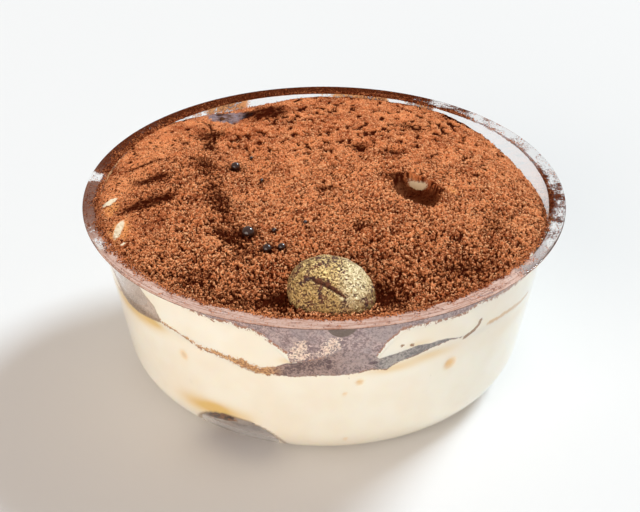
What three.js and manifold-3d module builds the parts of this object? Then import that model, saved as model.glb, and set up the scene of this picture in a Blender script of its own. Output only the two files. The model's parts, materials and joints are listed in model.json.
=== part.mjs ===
// A portion of tiramisu in a clear plastic bowl: soaked sponge on the floor, mascarpone cream,
// a seam of cocoa, more cream, a thick uneven coat of cocoa powder, and one gilded coffee bean.
// Millimetres, +Z up. The origin is under the middle of the bowl and the front is towards -Y.
import * as THREE from "three";
import { mergeVertices } from "three/addons/utils/BufferGeometryUtils.js";
import Module from "manifold-3d";

// Bowl
const RIM_HEIGHT = 36.5;
const RIM_RADIUS = 47.5;
const WALL_TOP_RADIUS = 45.2; // outside of the wall, carried up to the rim's height
const WALL_SLOPE = 0.184; // radius gained for each millimetre of height
const WALL_THICKNESS = 0.8;
const CORNER_RADIUS = 9.3; // outside, between the wall and the floor
const FLOOR_TOP = 1.4;
const FOOT_RECESS = 0.6; // the middle of the floor stands this far off the table
const FOOT_WIDTH = 3.6;
const FLANGE_THICKNESS = 0.4;
const EDGE_ROUNDING = 0.15;

// Contents
const GAP = 0.3; // between neighbouring pieces
const SEGMENTS = 64; // facets round the bowl
const CORNER_STEPS = 4;
const HEADROOM = 12; // how far the room for the contents is carried above the rim
const CUT_RADIUS = 60; // outer radius of the cutting solids, clear of the bowl
const CUT_DEPTH = 5; // how far the cutting solids reach below the table

// Levels are heights above the rim's plane, so that most of them are negative.
const SEAM_FLOOR = -12; // top of the lower cream
const SEAM_THICKNESS = 0.7;
const UPPER_CREAM_TOP = -4.6; // at the wall
const UPPER_CREAM_MIDDLE = -1.4; // at the middle of the bowl
const COCOA_EDGE = -0.9; // where the cocoa meets the wall
const COCOA_DOME = 2.6; // how far its middle stands above its edge
const SHOULDER_POWER = 8; // the higher, the closer to the wall the cocoa rolls over

// Swells in the levels round the wall. Angles in degrees run from the front towards +X.
const SEAM_FLOOR_SWELLS = [
  { at: -50, spread: 35, rise: 1.2 },
  { at: -15, spread: 25, rise: -2.5 },
  { at: 8, spread: 14, rise: -1.2 },
  { at: 32, spread: 25, rise: 0.9 },
  { at: 78, spread: 28, rise: -1.0 },
  { at: 128, spread: 34, rise: 1.1 },
  { at: 180, spread: 30, rise: -1.3 },
  { at: -132, spread: 36, rise: 1.4 },
  { at: -92, spread: 24, rise: -0.9 },
];
const SEAM_THICKNESS_SWELLS = [
  { at: -18, spread: 30, rise: 1.0 },
  { at: 14, spread: 28, rise: 2.2 },
  { at: 104, spread: 26, rise: 0.8 },
  { at: 168, spread: 30, rise: 1.3 },
  { at: -112, spread: 28, rise: 0.9 },
];
const UPPER_CREAM_SWELLS = [
  { at: -50, spread: 45, rise: 2.4 },
  { at: 100, spread: 36, rise: -1.9 },
  { at: 150, spread: 30, rise: 0.9 },
  { at: -160, spread: 34, rise: -1.2 },
  { at: -112, spread: 30, rise: 1.2 },
];
const COCOA_EDGE_SWELLS = [
  { at: 6, spread: 80, rise: 1.1 },
  { at: 106, spread: 42, rise: -3.7 },
  { at: -124, spread: 22, rise: 0.9 },
  { at: -158, spread: 22, rise: -1.1 },
];

// The gap in the upper cream at the front, which cocoa has filled down to the seam
const CLEFT_DEPTH = 8;
const CLEFT_FROM = [-17, -5]; // degrees, from where it starts to where it is full
const CLEFT_TO = [20, 10];
const CLEFT_INNER_RADIUS = 27;
const CLEFT_OUTER_RADIUS = 41;

// Mounds and dips in the top of the cocoa
const MOUNDS = [
  { x: -28, y: 2, reach: 10, rise: 1.2 }, // ridge along the left
  { x: 16, y: -12, reach: 15, rise: 0.9 }, // broad back in the middle
  { x: 10, y: 26, reach: 12, rise: 0.5 },
  { x: 24, y: 22, reach: 9, rise: 0.5 },
  { x: -11, y: 36, reach: 4.2, rise: 1.0 }, // hump at the back wall
  { x: -20, y: 33.5, reach: 4.4, rise: -1.4 }, // wet hollow beside it
  { x: 18.2, y: 6.6, reach: 3.6, rise: 0.9 }, // lip behind the pit
  { x: 8, y: 16, reach: 3, rise: -0.6 },
  { x: 14.5, y: 14.4, reach: 2.6, rise: -0.5 },
  { x: 3.7, y: -1, reach: 2.2, rise: -0.5 },
  { x: -36, y: 5, reach: 2.6, rise: -0.5 },
  { x: -26, y: -6.5, reach: 2.8, rise: -0.5 },
  { x: -19, y: -14, reach: 2.8, rise: -0.5 },
  { x: 13.5, y: -37, reach: 4.2, rise: -1.4 }, // dark hollow right of the bean
  { x: -9, y: -36, reach: 4.6, rise: -1.1 }, // dark hollow left of the bean
  { x: 1, y: -31, reach: 6, rise: -1.0 }, // dip behind the bean
];
const TROUGH = { depth: 1.3, width: 6, from: [-21, 34], to: [-9, -26] };
// A steep hole, cut as half an ellipsoid that is turned about the upright axis
const PIT = { x: 18.2, y: -1.9, half: [4.3, 6.6, 3.7], turn: 25 };
const LUMP_RISE = 0.14;
const LUMP_WAVES = [
  [0.83, 0.36, 0.4],
  [-0.41, 0.92, 2.1],
  [0.29, -1.13, 4.0],
  [1.21, 0.57, 5.2],
];
const COCOA_RINGS = 18;
const LEVEL_RINGS = 4;

// Beads of coffee on the cocoa
const BEADS = [
  { x: -14.35, y: -17.3, radius: 1.25 },
  { x: -17.9, y: 9.3, radius: 0.95 },
  { x: -10.6, y: -23, radius: 0.9 },
  { x: -7.9, y: -22.4, radius: 0.75 },
];
const BEAD_SINK = 0.25; // part of its radius that is under the surface

// Hollows between the contents and the wall: sizes are tangential, radial and vertical half axes.
const SIDE_HOLLOW = { angle: -57, radius: 45.2, level: -3.8, half: [10, 3.6, 8.6] };
const FOOT_HOLLOW = { angle: -28, radius: 39.2, level: -33.4, half: [10.2, 7.6, 5.7] };
const HOLLOW_COLUMNS = 16;
const HOLLOW_ROWS = 10;

// Soaked sponge
const SPONGE_RADIUS = 27.5;
const SPONGE_HEIGHT = 4.8;
const SPONGE_SWELLS = [
  { at: -29, spread: 24, rise: 6.2 }, // the end that shows in the hollow at the foot
  { at: 40, spread: 40, rise: 2.4 },
  { at: 118, spread: 30, rise: -2.2 },
  { at: 172, spread: 34, rise: 2.2 },
  { at: -98, spread: 32, rise: 1.6 },
];

// Gilded coffee bean
const BEAN_HALF = [8.2, 6.9, 3.9]; // long, wide and thick half axes
const BEAN_PLACE = [1.3, -37.5, 1.0]; // its middle, with the height above the rim's plane
const BEAN_FACE_TILT = 45; // degrees that its cleft side looks up from the front
const BEAN_TURN = 19; // degrees that its right end hangs
const BEAN_CLEFT = { depth: 0.9, width: 0.65, sway: -0.6, length: 0.45 };
const BEAN_ROWS = 18;
const BEAN_COLUMNS = 32;

const WELD = 1e-4; // vertices closer than this are one

const radians = THREE.MathUtils.degToRad;
const { smoothstep, clamp } = THREE.MathUtils;

const wasm = await Module();
wasm.setup();

// A closed geometry as a solid that can be joined and cut
function solidOf(geometry) {
  const bare = geometry.clone();
  bare.deleteAttribute("normal");
  bare.deleteAttribute("uv");
  const welded = mergeVertices(bare, WELD);
  const mesh = new wasm.Mesh({
    numProp: 3,
    vertProperties: welded.attributes.position.array,
    triVerts: new Uint32Array(welded.index.array),
  });
  return new wasm.Manifold(mesh);
}

// A solid back as a geometry that three.js can draw
function geometryOf(solid) {
  const { vertProperties, triVerts } = solid.getMesh();
  const geometry = new THREE.BufferGeometry();
  geometry.setAttribute("position", new THREE.BufferAttribute(vertProperties, 3));
  geometry.setIndex(new THREE.BufferAttribute(triVerts, 1));
  geometry.computeVertexNormals();
  return geometry;
}

// A profile of [radius, height] pairs, spun round Z. Its seam is at the front.
function spun(profile) {
  const points = profile.map(([radius, height]) => new THREE.Vector2(radius, height));
  return new THREE.LatheGeometry(points, SEGMENTS).rotateX(Math.PI / 2);
}

// An arc of [radius, height] pairs round the corner between the floor and the wall
const cornerCentre = [
  WALL_TOP_RADIUS -
    WALL_SLOPE * (RIM_HEIGHT - CORNER_RADIUS) -
    CORNER_RADIUS * Math.hypot(1, WALL_SLOPE),
  CORNER_RADIUS,
];
function cornerArc(inset, lowest) {
  const radius = CORNER_RADIUS - inset;
  const start = Math.asin(clamp((lowest - CORNER_RADIUS) / radius, -1, 1));
  const end = -Math.atan(WALL_SLOPE);
  return Array.from({ length: CORNER_STEPS + 1 }, (_, step) => {
    const angle = start + ((end - start) * step) / CORNER_STEPS;
    return [
      cornerCentre[0] + radius * Math.cos(angle),
      cornerCentre[1] + radius * Math.sin(angle),
    ];
  });
}

// The wall's radius at a height, inset from its outer face
function wallRadius(height, inset) {
  return (
    WALL_TOP_RADIUS - WALL_SLOPE * (RIM_HEIGHT - height) - inset * Math.hypot(1, WALL_SLOPE)
  );
}

function bowl() {
  const under = RIM_HEIGHT - FLANGE_THICKNESS;
  const lip = RIM_HEIGHT - 2 * EDGE_ROUNDING;
  const footInner = cornerCentre[0] - FOOT_WIDTH;
  return spun([
    [0, FOOT_RECESS],
    [footInner - FOOT_RECESS, FOOT_RECESS],
    [footInner, 0],
    ...cornerArc(0, 0),
    [wallRadius(under, 0), under],
    [RIM_RADIUS - EDGE_ROUNDING, under],
    [RIM_RADIUS, under + EDGE_ROUNDING],
    [RIM_RADIUS, RIM_HEIGHT - EDGE_ROUNDING],
    [RIM_RADIUS - EDGE_ROUNDING, RIM_HEIGHT],
    [wallRadius(RIM_HEIGHT, WALL_THICKNESS) + EDGE_ROUNDING, RIM_HEIGHT],
    [wallRadius(lip, WALL_THICKNESS), lip],
    ...cornerArc(WALL_THICKNESS, FLOOR_TOP).reverse(),
    [0, FLOOR_TOP],
  ]);
}

// The room inside the bowl that the contents may fill
function room() {
  const inset = WALL_THICKNESS + GAP;
  const floor = FLOOR_TOP + GAP;
  const top = RIM_HEIGHT;
  return solidOf(
    spun([
      [0, floor],
      ...cornerArc(inset, floor),
      [wallRadius(top, inset), top],
      [wallRadius(top, inset), top + HEADROOM],
      [0, top + HEADROOM],
    ]),
  );
}

// 1 at the swell's own angle, falling smoothly to 0 at its spread on both sides
function swellAt(angle, { at, spread }) {
  const away = Math.abs(THREE.MathUtils.euclideanModulo(angle - at + 180, 360) - 180);
  return away < spread ? 0.5 + 0.5 * Math.cos((Math.PI * away) / spread) : 0;
}

function swells(angle, list) {
  return list.reduce((sum, swell) => sum + swell.rise * swellAt(angle, swell), 0);
}

// Angle round the bowl from the front, in degrees, and distance from the axis as a part of 1
function polar(x, y) {
  const radius = Math.hypot(x, y);
  return {
    angle: THREE.MathUtils.radToDeg(Math.atan2(x, -y)),
    radius,
    out: Math.min(radius / wallRadius(RIM_HEIGHT, WALL_THICKNESS), 1),
  };
}

function seamFloor(x, y) {
  const { angle, out } = polar(x, y);
  return SEAM_FLOOR + swells(angle, SEAM_FLOOR_SWELLS) * out ** 2;
}

function seamTop(x, y) {
  const { angle, out } = polar(x, y);
  return seamFloor(x, y) + SEAM_THICKNESS + swells(angle, SEAM_THICKNESS_SWELLS) * out ** 3;
}

function upperCreamTop(x, y) {
  const { angle, radius, out } = polar(x, y);
  const wall = UPPER_CREAM_TOP + swells(angle, UPPER_CREAM_SWELLS);
  const across =
    smoothstep(angle, ...CLEFT_FROM) * (1 - smoothstep(angle, CLEFT_TO[1], CLEFT_TO[0]));
  const cleft = CLEFT_DEPTH * across * smoothstep(radius, CLEFT_INNER_RADIUS, CLEFT_OUTER_RADIUS);
  return THREE.MathUtils.lerp(UPPER_CREAM_MIDDLE, wall, out ** 3) - cleft;
}

function lowestCocoa(x, y) {
  return Math.max(seamTop(x, y), upperCreamTop(x, y));
}

// A round-bottomed mound or dip
function mound(x, y, { x: atX, y: atY, reach, rise }) {
  return rise * Math.exp(-((x - atX) ** 2 + (y - atY) ** 2) / reach ** 2);
}

function trough(x, y) {
  const { depth, width, from, to } = TROUGH;
  const along = clamp((y - from[1]) / (to[1] - from[1]), 0, 1);
  const middle = THREE.MathUtils.lerp(from[0], to[0], along);
  const ends = Math.sin(Math.PI * along);
  return -depth * ends * Math.exp(-(((x - middle) / width) ** 2));
}

function lumps(x, y) {
  return LUMP_WAVES.reduce((sum, [kx, ky, shift]) => {
    return sum + LUMP_RISE * Math.sin(kx * x + ky * y + shift);
  }, 0);
}

function cocoaTop(x, y) {
  const { angle, out } = polar(x, y);
  const edge = COCOA_EDGE + swells(angle, COCOA_EDGE_SWELLS) * out ** SHOULDER_POWER;
  const dome = COCOA_DOME * (1 - out ** 3);
  const mounds = MOUNDS.reduce((sum, each) => sum + mound(x, y, each), 0);
  const calm = 1 - out ** SHOULDER_POWER;
  return edge + dome + (mounds + trough(x, y)) * calm ** 0.5 + lumps(x, y) * calm;
}

// Everything under a level, as a wide disc whose top follows it
function below(level, rings, shift) {
  const reach = wallRadius(RIM_HEIGHT, 0);
  const steps = Array.from({ length: rings + 1 }, (_, step) => [
    reach * (1 - step / rings),
    RIM_HEIGHT,
  ]);
  const profile = [[0, -CUT_DEPTH], [CUT_RADIUS, -CUT_DEPTH], [CUT_RADIUS, RIM_HEIGHT], ...steps];
  const geometry = spun(profile);
  const { position } = geometry.attributes;
  for (let i = 0; i < position.count; i += 1) {
    if (position.getZ(i) > 0) {
      const height = level(position.getX(i), position.getY(i));
      position.setZ(i, RIM_HEIGHT + height + shift);
    }
  }
  return solidOf(geometry);
}

// An ellipsoid that cuts a hollow, turned about the upright axis
function hollow(half, turn, x, y, level) {
  const geometry = new THREE.SphereGeometry(1, HOLLOW_COLUMNS, HOLLOW_ROWS).scale(...half);
  return solidOf(geometry.rotateZ(turn).translate(x, y, RIM_HEIGHT + level));
}

function wallHollow({ angle, radius, level, half }) {
  const turn = radians(angle);
  return hollow(half, turn, radius * Math.sin(turn), -radius * Math.cos(turn), level);
}

// The sponge's outline, grown by a margin, between two heights
function spongeSlab(margin, bottom, top) {
  const edge = 0.6;
  const geometry = spun([
    [0, bottom],
    [1 - edge / SPONGE_RADIUS, bottom],
    [1, bottom + edge],
    [1, top - edge],
    [1 - edge / SPONGE_RADIUS, top],
    [0, top],
  ]);
  const { position } = geometry.attributes;
  for (let i = 0; i < position.count; i += 1) {
    const { angle } = polar(position.getX(i), position.getY(i));
    const reach = SPONGE_RADIUS + margin + swells(angle, SPONGE_SWELLS);
    position.setX(i, position.getX(i) * reach);
    position.setY(i, position.getY(i) * reach);
  }
  return solidOf(geometry);
}

// A bean lies along its own X with its cleft side up.
function bean(margin, cleft) {
  const [long, wide, thick] = BEAN_HALF.map((half) => half + margin);
  const geometry = new THREE.SphereGeometry(1, BEAN_COLUMNS, BEAN_ROWS).rotateZ(Math.PI / 2);
  geometry.scale(long, wide, thick);
  const { position } = geometry.attributes;
  for (let i = 0; i < position.count; i += 1) {
    const along = position.getX(i) / long;
    const side = position.getY(i) - cleft.sway * Math.sin(Math.PI * along);
    const ends = 1 - smoothstep(Math.abs(along), cleft.length, 1);
    const dip = cleft.depth * ends * Math.exp(-((side / cleft.width) ** 2));
    if (position.getZ(i) > 0) position.setZ(i, position.getZ(i) - Math.min(dip, position.getZ(i)));
  }
  return geometry;
}

// Where the bean lies: turned so that its cleft side looks up and forward
function beanMatrix() {
  const tilt = radians(BEAN_FACE_TILT);
  const turn = radians(BEAN_TURN);
  const face = new THREE.Vector3(0, -Math.cos(tilt), Math.sin(tilt));
  const down = new THREE.Vector3(0, -Math.sin(tilt), -Math.cos(tilt));
  const along = new THREE.Vector3(1, 0, 0)
    .multiplyScalar(Math.cos(turn))
    .addScaledVector(down, Math.sin(turn));
  const across = new THREE.Vector3().crossVectors(face, along);
  const [x, y, level] = BEAN_PLACE;
  return new THREE.Matrix4().makeBasis(along, across, face).setPosition(x, y, RIM_HEIGHT + level);
}

function bead({ x, y, radius }) {
  const height = RIM_HEIGHT + cocoaTop(x, y) + radius * (1 - 2 * BEAD_SINK);
  return solidOf(new THREE.IcosahedronGeometry(radius, 1).translate(x, y, height));
}

const finish = {
  clearPlastic: new THREE.MeshStandardMaterial({
    color: 0xe8ebee,
    roughness: 0.06,
    metalness: 0,
    transparent: true,
    opacity: 0.25,
  }),
  cream: new THREE.MeshStandardMaterial({ color: 0xf6ead3, roughness: 0.5, metalness: 0 }),
  cocoa: new THREE.MeshStandardMaterial({ color: 0x8a4f31, roughness: 0.95, metalness: 0 }),
  seamCocoa: new THREE.MeshStandardMaterial({ color: 0x5d3a2a, roughness: 0.8, metalness: 0 }),
  sponge: new THREE.MeshStandardMaterial({ color: 0x7a5134, roughness: 0.85, metalness: 0 }),
  gilt: new THREE.MeshStandardMaterial({ color: 0xaa8861, roughness: 0.4, metalness: 0.8 }),
};

const group = new THREE.Group();

function add(name, geometry, material) {
  const mesh = new THREE.Mesh(geometry, material);
  mesh.name = name;
  group.add(mesh);
  return mesh;
}

const inside = room();
const halfGap = GAP / 2;
const sideHollow = wallHollow(SIDE_HOLLOW);
const footHollow = wallHollow(FOOT_HOLLOW);
const pit = hollow(PIT.half, radians(PIT.turn), PIT.x, PIT.y, cocoaTop(PIT.x, PIT.y));
const beanPlace = beanMatrix();
const beanRoom = solidOf(bean(GAP, { ...BEAN_CLEFT, depth: 0 }).applyMatrix4(beanPlace));

const spongeTop = FLOOR_TOP + GAP + SPONGE_HEIGHT;
const sponge = spongeSlab(0, FLOOR_TOP + GAP, spongeTop);
const spongeRoom = spongeSlab(GAP, -CUT_DEPTH, spongeTop + GAP);

const underSeam = below(seamFloor, LEVEL_RINGS, -halfGap);
const seamBase = below(seamFloor, LEVEL_RINGS, halfGap);
const underUpperCream = below(seamTop, LEVEL_RINGS, -halfGap);
const upperCreamBase = below(seamTop, LEVEL_RINGS, halfGap);
const underCocoa = below(upperCreamTop, LEVEL_RINGS, -halfGap);
const cocoaBase = below(lowestCocoa, LEVEL_RINGS, halfGap);

const lowerCream = inside.intersect(underSeam).subtract(spongeRoom).subtract(footHollow);
const seam = inside.intersect(underUpperCream).subtract(seamBase).subtract(sideHollow);
const upperCream = inside.intersect(underCocoa).subtract(upperCreamBase).subtract(sideHollow);
const cocoa = BEADS.map(bead)
  .reduce(
    (joined, each) => joined.add(each),
    inside.intersect(below(cocoaTop, COCOA_RINGS, 0)).subtract(cocoaBase),
  )
  .subtract(beanRoom)
  .subtract(pit);

add("bowl", bowl(), finish.clearPlastic);
add("sponge", geometryOf(sponge), finish.sponge);
add("cream_lower", geometryOf(lowerCream), finish.cream);
add("cocoa_seam", geometryOf(seam), finish.seamCocoa);
add("cream_upper", geometryOf(upperCream), finish.cream);
add("cocoa_top", geometryOf(cocoa), finish.cocoa);
const coffeeBean = add("coffee_bean", bean(0, BEAN_CLEFT), finish.gilt);
coffeeBean.applyMatrix4(beanPlace);

export default group;
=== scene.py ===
# %% [markdown]
# # A portion of tiramisu in a clear plastic bowl
# From the floor of the bowl up: soaked sponge, mascarpone cream, a seam of cocoa, more cream, a
# thick coat of cocoa powder with beads of coffee on it, and one gilded coffee bean by the rim.
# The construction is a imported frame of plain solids. This script loads it first, and every piece
# made below goes where a solid of the frame is, so nothing has to be fitted afterwards.

# %% Load the frame
import json
import math

import bmesh
import bpy
import numpy as np
from mathutils import Matrix, Vector, noise

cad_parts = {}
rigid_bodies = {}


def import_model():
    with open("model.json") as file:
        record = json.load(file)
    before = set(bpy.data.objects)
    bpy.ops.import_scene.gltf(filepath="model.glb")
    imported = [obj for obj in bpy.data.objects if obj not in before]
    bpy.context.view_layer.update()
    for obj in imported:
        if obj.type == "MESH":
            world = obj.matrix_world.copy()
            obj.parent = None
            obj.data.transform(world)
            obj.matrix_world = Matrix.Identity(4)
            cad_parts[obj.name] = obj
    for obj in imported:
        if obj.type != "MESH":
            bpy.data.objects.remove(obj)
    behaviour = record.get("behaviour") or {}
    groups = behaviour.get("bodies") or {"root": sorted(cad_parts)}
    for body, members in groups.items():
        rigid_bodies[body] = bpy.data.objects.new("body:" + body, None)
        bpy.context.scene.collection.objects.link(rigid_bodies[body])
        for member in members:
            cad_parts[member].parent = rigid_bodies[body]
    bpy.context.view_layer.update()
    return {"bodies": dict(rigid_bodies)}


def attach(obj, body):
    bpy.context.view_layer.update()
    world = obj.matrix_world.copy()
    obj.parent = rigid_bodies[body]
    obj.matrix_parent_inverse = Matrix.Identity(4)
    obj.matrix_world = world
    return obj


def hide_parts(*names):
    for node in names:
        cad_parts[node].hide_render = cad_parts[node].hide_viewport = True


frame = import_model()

BODY = next(iter(frame["bodies"]))

# %% [markdown]
# ## Units and the sizes that drive the shapes
# Blender works in metres, but food is easier to think about in millimetres. So all sizes below are
# millimetres, and one function turns a finished mesh into metres at the very end. The bowl's few
# dimensions drive everything, because the food takes its shape from the bowl.

# %% Sizes of the bowl, in millimetres
MM = 0.001
RIM_HEIGHT = 36.5
RIM_RADIUS = 47.5
WALL_TOP_RADIUS = 45.2
WALL_SLOPE = 0.184
WALL_THICKNESS = 0.8
CORNER_RADIUS = 9.3
FLOOR_TOP = 1.4
FOOT_RECESS = 0.6
FOOT_WIDTH = 3.6
FLANGE_THICKNESS = 0.4
EDGE_ROUNDING = 0.15
INTO_WALL = 0.15  # how far the food reaches into the plastic, so that no gap shows

SLOPE_LENGTH = math.hypot(1, WALL_SLOPE)
CORNER_X = (
    WALL_TOP_RADIUS - WALL_SLOPE * (RIM_HEIGHT - CORNER_RADIUS) - CORNER_RADIUS * SLOPE_LENGTH
)
FOOD_INSET = WALL_THICKNESS - INTO_WALL
FOOD_FLOOR = FLOOR_TOP - INTO_WALL
MOUTH_RADIUS = WALL_TOP_RADIUS - WALL_THICKNESS * SLOPE_LENGTH
print(f"the mouth is {2 * MOUTH_RADIUS:.1f} mm across, the rim {2 * RIM_RADIUS:.1f} mm")

# %% [markdown]
# ## A small workshop for meshes
# Nearly everything here is round, so it starts as a profile that is spun about the upright axis.
# Spinning a full turn needs its seam welded, and afterwards the normals are worked out anew,
# because a profile drawn the other way round would turn the shape inside out.

# %% Mesh helpers
def smoothstep(value, low, high):
    part = np.clip((value - low) / (high - low), 0, 1)
    return part * part * (3 - 2 * part)


def arc(centre, radius, start, end, steps):
    """Points of a profile along an arc, with its angles in degrees."""
    angles = np.radians(np.linspace(start, end, steps + 1))
    return [(centre[0] + radius * math.cos(a), centre[1] + radius * math.sin(a)) for a in angles]


def spun(profile, segments):
    """A profile of (radius, height) points spun a full turn about Z."""
    bm = bmesh.new()
    points = [bm.verts.new((radius, 0, height)) for radius, height in profile]
    edges = [bm.edges.new(pair) for pair in zip(points, points[1:])]
    bmesh.ops.spin(
        bm,
        geom=points + edges,
        cent=(0, 0, 0),
        axis=(0, 0, 1),
        angle=2 * math.pi,
        steps=segments,
        use_merge=True,
    )
    bmesh.ops.remove_doubles(bm, verts=bm.verts, dist=1e-4)
    bmesh.ops.rotate(bm, verts=bm.verts, cent=(0, 0, 0), matrix=Matrix.Rotation(-math.pi / 2, 3, "Z"))
    return bm


def finished(bm, name, material, nodes=(), sharp=60):
    """A bmesh in millimetres as a piece in metres, on the one body of the frame."""
    bmesh.ops.recalc_face_normals(bm, faces=bm.faces)
    bmesh.ops.scale(bm, vec=(MM, MM, MM), verts=bm.verts)
    mesh = bpy.data.meshes.new(name)
    bm.to_mesh(mesh)
    bm.free()
    return placed(mesh, name, material, nodes, sharp)


def placed(mesh, name, material, nodes=(), sharp=60):
    """A mesh in metres as a shown piece that stands for the nodes named."""
    mesh.shade_smooth()
    if sharp:
        mesh.set_sharp_from_angle(angle=math.radians(sharp))
    mesh.materials.append(material)
    piece = bpy.data.objects.new(name, mesh)
    bpy.context.scene.collection.objects.link(piece)
    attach(piece, BODY)
    if nodes:
        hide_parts(*nodes)
    triangles = sum(len(face.vertices) - 2 for face in mesh.polygons)
    print(f"{name}: {triangles} triangles")
    return piece


def coordinates(bm):
    """The x, y and z of a bmesh's vertices as three arrays."""
    return np.array([vert.co[:] for vert in bm.verts]).T


def store(bm, name, values):
    """A number for each vertex, kept for the piece's material."""
    layer = bm.verts.layers.float.new(name)
    for vert, value in zip(bm.verts, values):
        vert[layer] = float(value)


# %% [markdown]
# ## Writing materials as sums
# A node tree is easier to read as arithmetic. `Wire` wraps one socket of a tree and overloads the
# operators, so that `1 - mask * 0.5` adds its Math nodes by itself. `Finish` holds a material
# and adds any other node by one method: first its settings, then the values or links it is fed.

# %% The wire and the finish
class Wire:
    """A socket that can be used in sums."""

    def __init__(self, finish, socket):
        self.finish = finish
        self.socket = socket

    def maths(self, operation, other):
        return self.finish.node("Math", {"operation": operation}, {0: self, 1: other})

    def __add__(self, other):
        return self.maths("ADD", other)

    __radd__ = __add__

    def __sub__(self, other):
        return self.maths("SUBTRACT", other)

    def __rsub__(self, other):
        return self * -1 + other

    def __mul__(self, other):
        return self.maths("MULTIPLY", other)

    __rmul__ = __mul__

    def __truediv__(self, other):
        return self.maths("DIVIDE", other)

    def __pow__(self, other):
        return self.maths("POWER", other)

    def __abs__(self):
        return self.maths("ABSOLUTE", 0)

    def ramp(self, low, high):
        """0 at low, 1 at high and smooth between them. Low may be the larger of the two."""
        settings = {"interpolation_type": "SMOOTHSTEP"}
        inputs = {"Value": self, "From Min": low, "From Max": high}
        return self.finish.node("MapRange", settings, inputs)


class Finish:
    """A material with one Principled shader, and what feeds it."""

    def __init__(self, name):
        self.material = bpy.data.materials.new(name)
        self.material.use_nodes = True
        self.tree = self.material.node_tree
        self.tree.nodes.clear()

    def node(self, kind, settings=None, inputs=None, output=0):
        node = self.tree.nodes.new("ShaderNode" + kind)
        for name, value in (settings or {}).items():
            setattr(node, name, value)
        for name, value in (inputs or {}).items():
            if isinstance(value, Wire):
                self.tree.links.new(value.socket, node.inputs[name])
            else:
                node.inputs[name].default_value = value
        return Wire(self, node.outputs[output])

    def here(self):
        """The point being shaded, in the part's own frame, in metres."""
        return self.node("TexCoord", output="Object")

    def kept(self, name):
        """A number that was stored for each vertex."""
        return self.node("Attribute", {"attribute_name": name}, output="Fac")

    def across(self):
        """The X of the point being shaded, in millimetres."""
        return self.node("SeparateXYZ", None, {0: self.here()}, "X") / MM

    def above_rim(self):
        """The height of the point being shaded above the rim's plane, in millimetres."""
        return self.node("SeparateXYZ", None, {0: self.here()}, "Z") / MM - RIM_HEIGHT

    def noise(self, size, detail=2.0, roughness=0.5):
        """Noise from 0 to 1 whose blotches are about size across, in millimetres."""
        inputs = {"Vector": self.here(), "Scale": 1 / (size * MM)}
        inputs |= {"Detail": detail, "Roughness": roughness}
        return self.node("TexNoise", None, inputs, "Fac")

    def cells(self, size, output="Distance"):
        """Distance from the middle of the nearest cell, or the Color of that cell."""
        inputs = {"Vector": self.here(), "Scale": 1 / (size * MM)}
        return self.node("TexVoronoi", None, inputs, output)

    def mixed(self, part, first, second):
        """A colour between two, by a number from 0 to 1."""
        inputs = {0: part, 6: first, 7: second}
        return self.node("Mix", {"data_type": "RGBA", "clamp_factor": True}, inputs, 2)

    def bump(self, height, strength, depth):
        """A normal bent by a height from 0 to 1 that stands for a depth in millimetres."""
        inputs = {"Height": height, "Strength": strength, "Distance": depth * MM}
        return self.node("Bump", None, inputs)

    def principled(self, **inputs):
        names = {name.replace("_", " ").title(): value for name, value in inputs.items()}
        names = {name.replace("Ior", "IOR"): value for name, value in names.items()}
        return self.node("BsdfPrincipled", None, names)

    def shown(self, shader):
        output = self.tree.nodes.new("ShaderNodeOutputMaterial")
        self.tree.links.new(shader.socket, output.inputs["Surface"])
        return self.material


def colour(red, green, blue):
    """A colour as a screen shows it, from 0 to 255, turned into the light it stands for."""
    def light(level):
        level /= 255
        return level / 12.92 if level <= 0.04045 else ((level + 0.055) / 1.055) ** 2.4

    return (light(red), light(green), light(blue), 1.0)

# %% [markdown]
# ## Camera, light and floor
# The bowl is seen from in front and from about 32 degrees above. A sun with a wide disc stands for
# one big soft lamp behind the bowl on the right: it throws a soft shadow to the front left.
# The rest of the light comes from a plain pale world and a second wide lamp from the front, which
# lifts the side of the bowl that the first one does not reach.

# %% Camera
CAMERA_PLACE = (0.0, -305.19, 211.24)
CAMERA_AIM = (-0.81, 0.0, 21.97)
CAMERA_LENS = 100.0  # on a frame 36 mm wide

camera_data = bpy.data.cameras.new("camera")
camera_data.lens = CAMERA_LENS
camera_data.sensor_width = 36.0
camera_data.clip_start = 0.01
camera = bpy.data.objects.new("camera", camera_data)
camera.location = Vector(CAMERA_PLACE) * MM
looking = Vector(CAMERA_AIM) - Vector(CAMERA_PLACE)
camera.rotation_euler = looking.to_track_quat("-Z", "Y").to_euler()
bpy.context.scene.collection.objects.link(camera)
bpy.context.scene.camera = camera

# %% Light
KEY_FROM = (0.53, 0.50, 0.68)
KEY_STRENGTH = 3.0
KEY_SIZE = 17  # degrees across
KEY_TINT = (0.78, 0.91, 1.0)
FILL_FROM = (-0.62, -1.0, 0.24)
FILL_STRENGTH = 2.12
FILL_SIZE = 60
WORLD_STRENGTH = 0.49
WARM = (1.0, 0.89, 0.80)


def lamp(name, towards, strength, size, tint):
    data = bpy.data.lights.new(name, "SUN")
    data.energy = strength
    data.angle = math.radians(size)
    data.color = tint
    light = bpy.data.objects.new(name, data)
    light.rotation_euler = Vector(towards).to_track_quat("Z", "Y").to_euler()
    bpy.context.scene.collection.objects.link(light)
    return light


lamp("key_lamp", KEY_FROM, KEY_STRENGTH, KEY_SIZE, KEY_TINT)
lamp("fill_lamp", FILL_FROM, FILL_STRENGTH, FILL_SIZE, WARM)

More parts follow.
